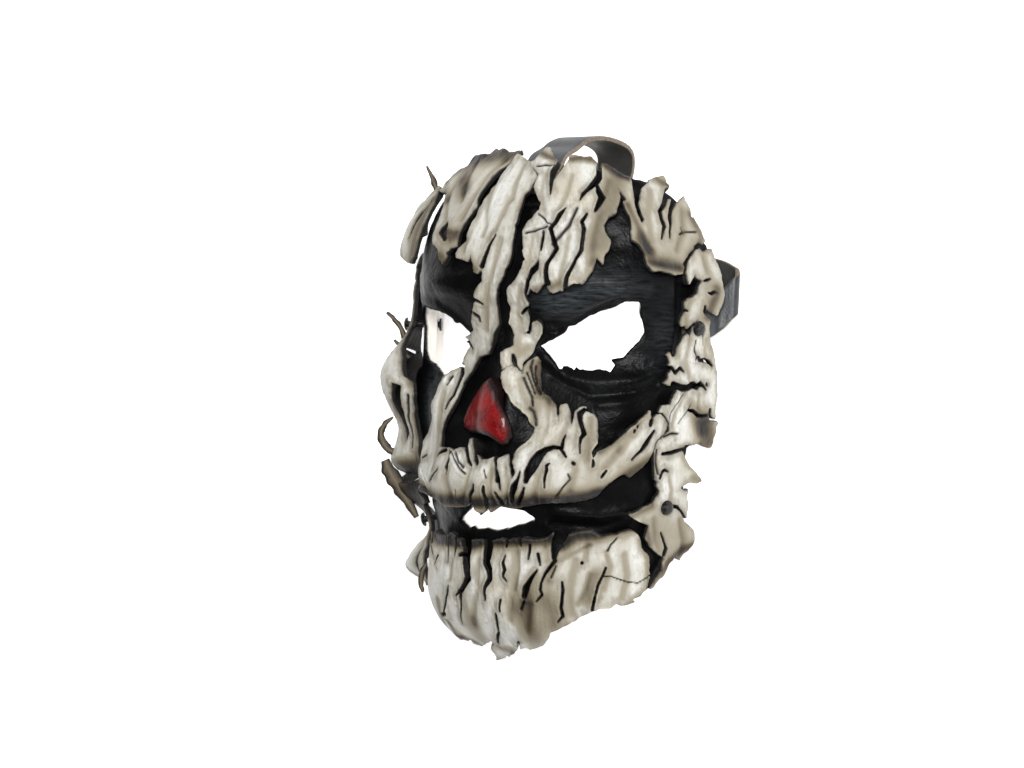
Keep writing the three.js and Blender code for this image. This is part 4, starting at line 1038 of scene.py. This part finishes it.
SEEN_PANELS["torn_chin"] = dict(
    stands_for=("skin_chin",),
    hidden=[(-63, -92), (-67, -103), (-66, -115), (-62, -125), (-57, -133), (-50, -137),
            (-47, -143)],
    edge=[(457, 643), (460, 640), (458, 633), (468, 642), (471, 640), (472, 644), (477, 646),
          (482, 647), (491, 642), (493, 644), (490, 648), (493, 660), (505, 658), (510, 656),
          (513, 651), (518, 649), (518, 640), (520, 649), (530, 649), (538, 647), (544, 645),
          (548, 641), (550, 635), (590, 612), (600, 608), (610, 607), (616, 604), (622, 606),
          (638, 602), (633, 600), (640, 597), (645, 592), (649, 585), (650, 575), (650, 565),
          (648, 557), (643, 550), (641, 545), (640, 538), (636, 533), (632, 530), (616, 535),
          (608, 536), (601, 536), (592, 529), (575, 533), (569, 535), (558, 553), (554, 564),
          (552, 558), (550, 550), (551, 542), (554, 533), (547, 538), (538, 540), (520, 538),
          (510, 540), (500, 539), (490, 541), (471, 540), (465, 543), (455, 535), (450, 533),
          (445, 536), (440, 534), (437, 530), (432, 551)],
    cracks=[
        ([(467, 538), (467, 556), (469, 568), (468, 578), (463, 587), (461, 592), (460, 600),
         (461, 610), (463, 623)], (4.6, 3.8, 3.6, 2.8, 1.8, 1.3, 1.1, 0.9, 0.3)),
        ([(456, 596), (460, 590)], (0.6, 0.9)),
        ([(459, 555), (464, 554)], (0.8, 1.6)),
        ([(488, 538), (487, 556), (486, 562), (489, 570), (490, 578), (486, 588), (485, 600)], (5,
         4, 3, 2.6, 2.2, 1.2, 0.4)),
        ([(506, 556), (504, 563), (506, 570), (504, 576), (506, 581)], (0.5, 0.9, 1, 0.7, 0.4)),
        ([(501, 600), (501, 610)], (0.7, 0.7)),
        ([(496, 614), (497, 622), (499, 632), (498, 643)], (0.7, 0.8, 0.5, 0.5)),
        ([(450, 585), (447, 595), (446, 605), (447, 612)], (0.3, 0.9, 1, 1.2)),
        ([(442, 615), (448, 612)], (1.2, 1.3)),
        ([(441, 556), (438, 564)], (0.9, 0.3)),
        ([(448, 536), (448, 548), (448, 562)], (2, 1.4, 0.3)),
        ([(537, 570), (530, 580), (526, 588), (524, 597)], (0.3, 1.4, 2.5, 1.8)),
        ([(524, 601), (521, 610)], (0.5, 0.8)),
        ([(555, 561), (550, 567), (545, 574), (541, 583), (540, 590), (542, 595), (536, 602)],
         (1.4, 1, 0.7, 0.5, 0.6, 0.5, 0.2)),
        ([(538, 554), (540, 565)], (0.8, 0.3)),
        ([(530, 545), (528, 559)], (0.9, 0.3)),
        ([(562, 582), (563, 590), (562, 600), (561, 608), (563, 616), (558, 622)], (0.3, 0.8, 0.8,
         0.8, 0.9, 0.3)),
        ([(606, 568), (603, 575), (598, 585), (595, 595), (592, 610)], (0.7, 0.6, 0.5, 0.6, 1)),
        ([(582, 563), (582, 563)], (1, 1)),
        ([(519, 641), (518, 646), (520, 650)], (0.5, 0.6, 0.7)),
        ([(508, 538), (507, 547)], (2.2, 0.4)),
        ([(520, 538), (521, 546)], (1.6, 0.3)),
        ([(432, 530), (433, 545), (436, 556)], (2.2, 1.4, 0.3)),
        ([(456, 534), (456, 546), (454, 556)], (2, 1.2, 0.3)),
        ([(462, 538), (463, 548)], (1.6, 0.3)),
    ],
    creases=[
        ([(603, 577), (610, 576), (618, 579), (628, 582), (638, 583), (645, 579), (650, 575)],
         0.3),
        ([(617, 539), (611, 545), (608, 551)], 0.7),
        ([(556, 566), (553, 573), (551, 578)], 0.5),
        ([(457, 596), (456, 603)], 0.4),
    ],
    valleys=[
        ([(560, 560), (575, 553), (590, 546)], 1),
        ([(517, 552), (518, 570), (514, 590)], 1.1),
        ([(590, 575), (586, 590), (578, 605)], 1.2),
        ([(478, 560), (478, 590), (474, 625)], 1.8),
        ([(515, 555), (514, 585), (510, 620)], 1.8),
        ([(545, 548), (546, 560)], 1.4),
        ([(575, 560), (570, 590), (572, 615)], 1.8),
        ([(625, 555), (628, 575), (622, 598)], 1.6),
        ([(452, 560), (450, 580)], 1.4),
        ([(530, 605), (528, 630)], 1.6),
        ([(588, 545), (585, 560)], 1.4),
        ([(606, 552), (610, 566), (604, 590)], 1.4),
    ],
    stains_and_shade=[
        ([(440, 535), (480, 540), (530, 539), (550, 537)], 4.2, 1.3),
        ([(425, 535), (450, 537), (470, 542)], 5, 0.8),
        ([(447, 618), (458, 634), (470, 640), (482, 646)], 2.2, 1.2),
        # painted shade: a broad faint darkening where the panel turns away from the light
        ([(610, 575), (590, 560), (575, 590)], 13, 0.2),
        ([(500, 560), (515, 600)], 9, 0.14),
        ([(562, 545), (575, 535), (600, 532), (630, 526)], 3.6, 1.15),
        ([(545, 598), (553, 612), (555, 624)], 5.5, 0.6),
        ([(524, 612), (534, 638)], 6.5, 0.75),
        ([(472, 622), (482, 640)], 5.5, 0.65),
        ([(438, 600), (448, 630), (460, 640)], 2.5, 0.7),
        ([(500, 648), (515, 650)], 2.5, 0.8),
        ([(596, 575), (588, 600)], 3, 0.5),
        ([(640, 540), (648, 560), (648, 590), (630, 604)], 1.8, 0.6),
        ([(554, 560), (549, 580)], 2.5, 0.5),
        ([(534, 575), (526, 600)], 3, 0.55),
    ])
# Panels that the photograph sees edge-on, in mm on the face
TURNED_PANELS = {}
TURNED_PANELS["torn_temple_right"] = dict(
    stands_for=("skin_temple_right",),
    outline=[(-62, 63), (-66, 66), (-76, 67), (-85, 61), (-93, 52), (-96, 45), (-92, 42),
             (-85, 37), (-79, 34), (-74, 32), (-69, 31), (-66, 34), (-65, 41), (-63, 52)],
    cracks=[
        ([(-71, 68), (-80, 58), (-90, 48)], (1.8, 1.6, 0.4)),
        ([(-66, 60), (-70, 50), (-72, 42)], (1.2, 1, 0.3)),
    ],
    valleys=[
        ([(-68, 62), (-79, 52), (-90, 44)], 1.5),
    ],
    raised=[(-84, 36, 14, 16, 8), (-80, 54, 13, 12, 4)],
    stains_and_shade=[
        ([(-64, 60), (-67, 45), (-68, 32)], 4, 0.8),
        ([(-96, 45), (-80, 34)], 4, 0.6),
    ])
TURNED_PANELS["torn_side_right"] = dict(
    stands_for=("skin_side_right",),
    outline=[(-91, 36), (-99, 38), (-103, 30), (-104.3, 22), (-103, 13), (-97.5, 9), (-95.5, 0),
             (-97.5, -10), (-102, -20), (-104, -34), (-104, -44), (-97, -49), (-92, -58),
             (-84, -66), (-74, -66.5), (-66.5, -63.5), (-67.5, -52), (-70, -44), (-69.5, -33),
             (-70, -24), (-74, -21.5), (-77, -12), (-82, -3), (-80, 8), (-84, 17), (-90, 23),
             (-84, 30)],
    cracks=[
        ([(-104, 22), (-96, 20), (-91, 22)], (1.8, 1.2, 0.3)),
        ([(-96, -11), (-90, -9), (-86, -14)], (1.6, 1, 0.3)),
        ([(-105, -38), (-98, -36), (-92, -39)], (1.8, 1.2, 0.3)),
        ([(-72, -30), (-73, -42), (-71, -54)], (0.9, 1.1, 0.4)),
        ([(-86, -66), (-88, -52), (-87, -44)], (1.6, 0.9, 0.3)),
    ],
    creases=[
        ([(-95, 5), (-90, -8), (-92, -22)], 0.5),
        ([(-84, -5), (-86, -18), (-84, -30)], 0.5),
    ],
    valleys=[
        ([(-98, 30), (-94, 10), (-97, -6)], 1.6),
        ([(-92, -25), (-90, -40), (-94, -52)], 1.8),
        ([(-84, -30), (-85, -50)], 1.5),
    ],
    holes=[[(-75, -26), (-78, -25), (-80, -33), (-79, -43), (-77, -51), (-75, -47), (-76, -35)]],
    stains_and_shade=[
        ([(-103, 30), (-104, 10), (-98, -10), (-104, -30), (-103, -46)], 3, 0.9),
        ([(-70, -24), (-73, -12), (-80, 0)], 3, 0.8),
        ([(-69, -40), (-68, -60)], 2.5, 0.5),
        ([(-94, -56), (-86, -63), (-72, -64)], 6, 1.2),
    ],
    raised=[(-84, -22, 11, 19, 13), (-87, -58, 13, 9, 12)])
TURNED_PANELS["torn_jaw_right"] = dict(
    stands_for=("skin_jaw_right",),
    outline=[(-76, -70), (-84, -68), (-94, -61), (-99, -67), (-95, -76), (-89.5, -80),
             (-88.5, -86), (-95, -89), (-98, -97), (-96, -106), (-90, -112), (-84, -111),
             (-79, -116), (-71, -120), (-70, -112), (-72, -103), (-69, -96), (-66, -90),
             (-67, -80), (-60, -79), (-66, -74), (-70, -69)],
    cracks=[
        ([(-99, -97), (-92, -97), (-87, -100)], (1.8, 1, 0.3)),
        ([(-72, -119), (-75, -108), (-74, -99)], (1.8, 1, 0.3)),
        ([(-100, -68), (-91, -71)], (2, 0.3)),
    ],
    valleys=[
        ([(-92, -100), (-84, -106)], 1.6),
        ([(-72, -86), (-76, -100)], 1.5),
    ],
    raised=[(-86, -72, 13, 10, 15), (-86, -109, 13, 11, 18)],
    stains_and_shade=[
        ([(-92, -66), (-84, -76), (-78, -84)], 12, 1.5),
        ([(-70, -70), (-66, -80)], 5, 1.2),
        ([(-98, -97), (-95, -107), (-84, -112), (-71, -120)], 2.5, 0.9),
    ])

for number, (name, panel) in enumerate(SEEN_PANELS.items()):
    make_panel(name, on_photo(panel), 10 * number + 5)
for number, (name, panel) in enumerate(TURNED_PANELS.items()):
    make_panel(name, panel, 10 * number + 65)


# Black base: left half of its rim and the right eye in mm on the face, the rest in pixels
BASE_RIM = [(20, 81.5), (36, 78), (50, 74), (61, 71.5), (70, 69.5), (80, 65.5), (86, 61),
            (92, 54), (97, 45), (101, 36), (103, 28), (103.5, 14), (101, 2), (101, -10),
            (103, -24), (104, -38), (97, -47), (90, -51), (88, -62), (89, -80), (88, -94),
            (80, -105), (68, -113), (54, -118), (38, -123), (22, -131), (8, -137)]
LEFT_EYE_EDGE = [(541, 346), (550, 341), (560, 336), (566, 332), (568, 327), (575, 326),
                 (590, 316), (600, 312), (612, 309), (624, 302), (639, 302), (641, 305),
                 (640, 315), (643, 325), (645, 333), (639, 341), (630, 349), (623, 357),
                 (610, 359), (613, 362), (615, 365), (610, 372), (606, 370), (600, 369),
                 (590, 370), (580, 369), (576, 366), (575, 370), (568, 366), (564, 366),
                 (561, 372), (557, 365), (550, 355), (544, 349)]
RIGHT_EYE = [(-78, 0), (-77, 7), (-71, 10.5), (-60, 10), (-56, 9), (-49, 8), (-45, 7), (-42, 5),
             (-43, 3.2), (-38.5, 3.4), (-38, 1.4), (-33.5, -1.2), (-29.5, -5.5), (-32, -9.5),
             (-33, -13.3), (-37, -15.5), (-40.5, -18), (-44.5, -18.3), (-49.5, -18.6),
             (-55, -16), (-62, -14), (-70, -13), (-75, -9)]
MOUTH_EDGE = [(460, 520), (465, 514), (472, 506), (475, 511), (481, 516), (485, 512), (487, 505),
              (491, 513), (500, 506), (514, 509), (524, 511), (531, 516), (537, 521), (527, 524),
              (515, 527), (497, 532), (487, 529), (476, 530), (472, 526), (469, 529), (465, 526)]
BASE_OUTLINE = BASE_RIM + [(-u, v) for u, v in reversed(BASE_RIM)]
RIM_RIPPLES, HOLE_RIPPLES = [(0.5, 4, 4, 901)], [(0.25, 1.6, 1.6, 902)]
BASE_RIPPLES = [(0.35, 9, 5, 911), (0.12, 3, 3, 912)]
BASE_LIP, BASE_LIP_REACH = 0.7, 1.2
BASE_GRID = facing_grid(base_outside)
LEFT_EYE = seen_at(LEFT_EYE_EDGE, base_outside, BASE_GRID)
MOUTH = seen_at(MOUTH_EDGE, base_outside, BASE_GRID)
# Folds of the base: line in pixels, width and rise in mm
BASE_FOLDS = [(seen_at(line, base_outside, BASE_GRID), width, rise) for line, width, rise in (
    ([(545, 318), (572, 308), (604, 296), (644, 288)], 3.0, 1.6),
    ([(556, 330), (580, 318), (612, 300), (640, 296)], 1.2, -0.8),
    ([(545, 358), (566, 378), (600, 382), (636, 380), (658, 372)], 2.6, 1.4),
    ([(552, 376), (590, 396), (630, 392), (656, 384)], 1.6, -1.0),
    ([(600, 405), (636, 402), (655, 395)], 2.0, 0.8),
    ([(556, 512), (600, 516), (640, 506)], 2.2, 1.2),
    ([(550, 524), (600, 527), (630, 518)], 1.5, -0.9),
    ([(424, 300), (440, 306), (458, 320)], 2.6, 1.3))]
# Places brushed grey, partly painted sheen where the base turns to the light: u, v, spread in u,
# spread in v, strength
BRUSHED_AND_SHEEN = [(-58, -32, 9, 14, 1), (75, 0, 12, 14, 0.35), (26, 14, 13, 7, 1), (46, 22, 16, 8, 0.7)]


def base_field(u, v):
    s = inside_distance(u, v, BASE_OUTLINE) + ripples(u, v, RIM_RIPPLES)
    for hole in (LEFT_EYE, RIGHT_EYE, MOUTH):
        s = np.minimum(s, -inside_distance(u, v, hole) + ripples(u, v, HOLE_RIPPLES))
    return s


def base_top(u, v, s):
    folds = ripples(u, v, BASE_RIPPLES)
    for line, width, rise in BASE_FOLDS:
        folds += rise * np.exp(-((near_line(u, v, line, None, 3 * width) / width) ** 2))
    return base_outside(u, v) + folds + BASE_LIP * np.exp(-s / BASE_LIP_REACH)


def base_bottom(u, v, s):
    return base_outside(u, v) - BASE_WALL + LAYER_CLEARANCE


base = leather_sheet("moulded_base", base_field, np.min(BASE_OUTLINE, 0), np.max(BASE_OUTLINE, 0),
                     base_top, base_bottom, BLACK, BASE_CELL, rim=1.2,
                     extra=lambda u, v, s: {"brushed": swell(BRUSHED_AND_SHEEN, u, v)})
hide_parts("base_shell")

# Red nose: one dome in place of the face's own nose
NOSE_EDGE = [(488, 376), (494, 388), (501, 402), (509, 416), (513, 428), (514, 438), (508, 446),
             (500, 447), (492, 442), (484, 437), (476, 434), (468, 433), (461, 428), (461, 419),
             (466, 406), (473, 393), (481, 382)]
NOSE_DOMES = [(*rest, -height) for *rest, height in NOSE_FEATURES] + [(-1, -37, 17, 25, 14.5)]
NOSE_RIPPLES = [(0.1, 3, 3, 921)]
EDGE_DIP, EDGE_DIP_REACH = 1.4, 2.0


def nose_middle(u, v):
    return BASE_OUTSIDE + swell(NOSE_DOMES, u, v)


def nose_top(u, v, s):
    dip = EDGE_DIP * np.exp(-s / EDGE_DIP_REACH)
    return nose_middle(u, v) + ripples(u, v, NOSE_RIPPLES) - dip


def nose_bottom(u, v, s):
    return base_outside(u, v) + TOUCH_GAP


NOSE = seen_at(NOSE_EDGE, nose_middle, facing_grid(nose_middle))
nose = leather_sheet("red_nose", lambda u, v: inside_distance(u, v, NOSE), np.min(NOSE, 0),
                     np.max(NOSE, 0), nose_top, nose_bottom, RED, NOSE_CELL, rim=1.2)
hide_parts("nose")


# Straps
FACE_UP = TURN @ np.array([0, 1.0, 0])
PAD_CENTRE = np.array([14.0, 40.0])
PAD_RADIUS = 20.0
FLOOR_STRAP = STRAP_WALL / 2
PAD_STRAP = STRAP_WALL + TOUCH_GAP + STRAP_WALL / 2
PAD_RAMP = [(PAD_RADIUS + 9, FLOOR_STRAP), (PAD_RADIUS + 6, 1.8), (PAD_RADIUS + 1.6, 4.15),
            (PAD_RADIUS - 2, PAD_STRAP + 0.1), (10.8, PAD_STRAP)]
TEMPLE_POCKET = [(84, 1.8), (88, 2.9), (92, 4.4), (96, 6.5)]
TEMPLE_LOOP = [(72.3, 13.2, 10.6), (73.4, 14.6, 7.6), (75.4, 16.6, 5.7), (77.6, 18.6, 4.9),
               (79.4, 20.8, 4.5), (80.8, 22.6, 4), (81.4, 24.2, 2.85), (80.8, 25.8, 1.7),
               (79.2, 27.4, FLOOR_STRAP), (70, 31, FLOOR_STRAP)]
CROWN_POCKET = [(8, 66), (8, 74), (8, 80), (8.3, 84)]
CROWN_ARCH = [(6.8, 86, 37.6), (8.3, 89.6, 33), (10.5, 92, 28), (13.4, 92.8, 22),
              (16.2, 92.2, 15.6), (18, 90.8, 10), (18.4, 88.4, 5.7), (17.8, 85, 3),
              (17, 81, 1.6)]
ROW_SHIFT = np.array([*MIDDLE_SHIFT, 0.0])
STRAP_CORNER = 0.7
SPAN_STEPS = 6


def ramp_from(x, y):
    """Stations of a strap from a place on the floor up onto the pad."""
    away = np.array([x, y]) - PAD_CENTRE
    away = away / np.hypot(*away)
    across = np.array([away[1], -away[0], 0.0])
    if x > 0:
        across = -across
    points = [np.array([*(PAD_CENTRE + away * far), height]) for far, height in PAD_RAMP]
    return [(point, across) for point in points]


def pocket(places):
    """Middle of a strap between the base and the panels."""
    u, v = np.array(places, float).T
    middle = to_row(on_face(u, v, base_outside(u, v) + STRAP_GAP + STRAP_WALL / 2))
    return middle - ROW_SHIFT


def spline(points, per_span):
    """A smooth curve through the points."""
    p = np.array(points, float)
    p = np.vstack([2 * p[0] - p[1], p, 2 * p[-1] - p[-2]])
    out = []
    for k in range(1, len(p) - 2):
        for t in np.arange(per_span) / per_span:
            out.append(0.5 * (2 * p[k] + (p[k + 1] - p[k - 1]) * t
                              + (2 * p[k - 1] - 5 * p[k] + 4 * p[k + 1] - p[k + 2]) * t**2
                              + (3 * p[k] - p[k - 1] - 3 * p[k + 1] + p[k + 2]) * t**3))
    out.append(p[-2])
    return np.array(out)


def tube_faces(count, around):
    """Triangles of a closed tube: points in rings, then the middle of each end."""
    faces, end = [], (count - 1) * around
    first, last = count * around, count * around + 1
    for c in range(around):
        d = (c + 1) % around
        for k in range(0, end, around):
            faces += [(k + c, k + d, k + around + d), (k + c, k + around + d, k + around + c)]
        faces += [(first, d, c), (last, end + c, end + d)]
    return faces


def strap_section():
    """Round-edged section: across, up, how much of it is cut edge, and the inner face."""
    flat, wall = STRAP_WIDTH / 2 - STRAP_CORNER, STRAP_WALL / 2
    rows = []
    for side, inner in ((1, 0), (-1, 1)):
        rows += [(side * x, side * wall, 0, inner) for x in np.linspace(-flat, flat, 13)]
        for turn in np.linspace(0, math.pi, 9)[1:-1]:
            x = flat + STRAP_CORNER * math.sin(turn)
            rows.append((side * x, side * wall * math.cos(turn), 1, 0))
    return np.array(rows, float)


def make_strap(name, node, stations):
    """A strap along its stations, each a middle point and the direction across it."""
    middle = spline([m for m, _ in stations], SPAN_STEPS) + ROW_SHIFT
    across = spline([a for _, a in stations], SPAN_STEPS)
    across /= np.linalg.norm(across, axis=1, keepdims=True)
    ahead = np.gradient(middle, axis=0)
    up = np.cross(ahead, across)
    up /= np.linalg.norm(up, axis=1, keepdims=True)
    section = strap_section()
    rings = (middle[:, None] + across[:, None] * section[None, :, :1]
             + up[:, None] * section[None, :, 1:2])
    count = len(middle)
    cut = np.tile(section[:, 2], (count, 1))
    cut[0], cut[-1] = 1, 1
    outward = (up[len(up) // 3, 2] > 0)
    inner = section[:, 3] if outward else np.where(section[:, 2] > 0, 0, 1 - section[:, 3])
    points = np.vstack([rings.reshape(-1, 3), middle[0], middle[-1]])
    attributes = {"cut": np.append(cut.ravel(), [1, 1]),
                  "inner": np.append(np.tile(inner, count), [0, 0])}
    obj = make_object(name, points, tube_faces(count, len(section)), attributes, STRAP,
                      TURNED_CREASE)
    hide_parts(node)


for node, side in (("strap_temple_left", 1), ("strap_temple_right", -1)):
    under = [(p, FACE_UP) for p in pocket([(side * u, v) for u, v in TEMPLE_POCKET])]
    free = [(np.array([side * x, y, z]), np.array([0, 1.0, 0])) for x, y, z in TEMPLE_LOOP]
    make_strap(node.replace("strap", "leather_strap"), node, under + free + ramp_from(side * 70, 31))
LEFTWARD = np.array([-1.0, 0, 0])
crown = [(p, LEFTWARD) for p in pocket(CROWN_POCKET)]
crown += [(np.array(p, float), LEFTWARD) for p in CROWN_ARCH]
crown += [(np.array([16, 77, FLOOR_STRAP]), LEFTWARD)]
make_strap("leather_strap_crown", "strap_crown", crown + ramp_from(16, 77))


# Loose shreds past the far cheek: root in mm on the face, line in pixels, widths in mm
SHREDS = {
    "torn_shred_brow": ((-72, 64), [(437, 192), (433, 180), (427, 166)], (2.2, 2.6, 0.9)),
    "torn_shred_temple_long": ((-84, 6), [(406, 346), (402, 330), (394, 319), (387, 312)],
                               (2.6, 2.6, 2.2, 1.4)),
    "torn_shred_temple_short": ((-84, 0), [(409, 358), (402, 349), (394, 340)], (2.4, 2.4, 1.2)),
    "torn_shred_cheek": ((-84, -56), [(408, 457), (396, 453), (386, 447), (381, 434), (385, 424),
                                      (393, 417)], (3, 3.4, 4, 3.4, 2.6, 1.0)),
    "torn_shred_jaw": ((-80, -80), [(417, 517), (409, 503), (400, 488), (391, 474), (385, 460)],
                       (2.6, 4.4, 6.5, 7.5, 4.0)),
    "torn_shred_chin": ((-70, -108), [(423, 592), (421, 584), (422, 572), (427, 563)],
                        (1.4, 2.4, 2.4, 1.2)),
}
SHRED_WALL = 1.8
SHRED_STEPS, SHRED_SIDES, SHRED_ROUGHNESS = 8, 12, 0.25


def make_shred(name, root, pixels, widths, seed):
    """A shred that starts on the face and stays as far from the camera as its root."""
    start = on_face(np.array([root[0]]), np.array([root[1]]), np.array([0.0]))[0]
    depth = -(start - EYE) @ BACK
    x, y = (np.array(pixels, float) - MIDDLE_PIXEL).T * MM_PER_PIXEL / DISTANCE * depth
    middle = spline(EYE + x[:, None] * RIGHT - y[:, None] * UPWARD - depth * BACK, SHRED_STEPS)
    width = spline(np.array(widths, float)[:, None], SHRED_STEPS)
    ahead = np.gradient(middle, axis=0)
    across = np.cross(ahead, BACK)
    across /= np.linalg.norm(across, axis=1, keepdims=True)
    turns = np.linspace(0, 2 * math.pi, SHRED_SIDES, endpoint=False)
    rough = 1 + SHRED_ROUGHNESS * ripple(*np.meshgrid(turns, np.arange(len(middle)) / 3), seed)
    rings = middle[:, None] + across[:, None] * (np.cos(turns) * width / 2 * rough)[..., None]
    rings = rings + BACK * (np.sin(turns) * np.minimum(width, SHRED_WALL) / 2)[..., None]
    points = np.vstack([rings.reshape(-1, 3), middle[0], middle[-1]])
    across_all = np.append(np.tile(np.cos(turns), len(middle)), [0, 0])
    plain = np.zeros(len(points))
    attributes = {"edge": plain + 4, "under": plain, "groove": plain, "height": plain,
                  "lift": plain, "stain": 0.75 + 0.5 * np.abs(across_all), "flow": points}
    make_object(name, to_row(points), tube_faces(len(middle), len(turns)), attributes, BONE)


for number, (name, (root, pixels, widths)) in enumerate(SHREDS.items()):
    make_shred(name, root, pixels, widths, 951 + number)


# Leather pad that joins the straps
def make_pad():
    radius, top = PAD_RADIUS, STRAP_WALL
    profile = [(radius - 1, 0), (radius - 0.3, 0.25), (radius, 0.9), (radius, 1.4),
               (radius - 0.4, top - 0.2), (radius - 1, top)]
    turns = np.linspace(0, 2 * math.pi, 96, endpoint=False)
    rings = [(r * math.cos(t), r * math.sin(t), z) for r, z in profile for t in turns]
    points = np.array([*rings, (0, 0, 0), (0, 0, top)])
    cut = (np.hypot(points[:, 0], points[:, 1]) > radius - 0.7).astype(float)
    return make_object("leather_pad", points + [*PAD_CENTRE, 0] + ROW_SHIFT,
                       tube_faces(len(profile), len(turns)), {"cut": cut}, STRAP,
                       TURNED_CREASE)


pad = make_pad()
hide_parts("strap_pad")

# The solids' own rivets, in the scene's metal
for node in list(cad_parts):
    if node.startswith("rivet"):
        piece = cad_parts[node]
        piece.data.materials.clear()
        piece.data.materials.append(RIVET)


# Floor, light and camera
def floor_material():
    s = Shade("pale_floor")
    clouds = s.noise(s.place(0.004), 3, 0.5)
    color = s.ramp(clouds, (0.3, (0.86, 0.86, 0.86)), (0.7, (0.90, 0.90, 0.895)))
    return s.finish(color, 0.85, Emission_Color=(1, 1, 1, 1), Emission_Strength=0.7)


def make_floor():
    reach, drop = 4.0, 0.0003
    mesh = bpy.data.meshes.new("floor")
    mesh.from_pydata([(-reach, -reach, 0), (reach, -reach, 0), (reach, reach, 0),
                      (-reach, reach, 0)], [], [(0, 1, 2, 3)])
    mesh.materials.append(floor_material())
    obj = bpy.data.objects.new("floor", mesh)
    bpy.context.scene.collection.objects.link(obj)
    obj.location.z = -drop
    return obj


def make_world(strength):
    world = bpy.data.worlds.new("studio")
    world.use_nodes = True
    background = world.node_tree.nodes["Background"]
    background.inputs[0].default_value = (1, 1, 1, 1)
    background.inputs[1].default_value = strength
    bpy.context.scene.world = world
    bpy.context.scene.view_settings.view_transform = "Standard"


def make_camera():
    camera = bpy.data.objects.new("camera", bpy.data.cameras.new("camera"))
    bpy.context.scene.collection.objects.link(camera)
    axes = np.stack([TURN @ RIGHT, TURN @ UPWARD, TURN @ BACK], 1)
    camera.matrix_world = Matrix.LocRotScale(Vector(to_row(EYE) * MM), Matrix(axes.tolist()), None)
    camera.data.sensor_width = 36
    camera.data.lens = camera.data.sensor_width * DISTANCE / MM_PER_PIXEL / PHOTO_WIDTH
    camera.data.clip_start, camera.data.clip_end = 0.05, 20
    return camera


def softbox(name, place, size, power):
    """A soft light that points at the middle of the mask."""
    light = bpy.data.lights.new(name, "AREA")
    light.shape = "RECTANGLE"
    light.size, light.size_y, light.energy = size[0], size[1], power
    lamp = bpy.data.objects.new(name, light)
    bpy.context.scene.collection.objects.link(lamp)
    lamp.location = place
    lamp.rotation_euler = (MASK_MIDDLE - Vector(place)).to_track_quat("-Z", "Y").to_euler()


MASK_MIDDLE = Vector((0, 0, 0.03))
floor = make_floor()
make_world(0.2)
bpy.context.scene.camera = make_camera()
softbox("key", (0.5, 0.25, 1.05), (0.35, 0.35), 17)
softbox("side", (-0.7, 0.8, 0.6), (0.4, 0.4), 2.5)
softbox("front", (0.5, -0.9, 0.45), (0.4, 0.3), 2.5)
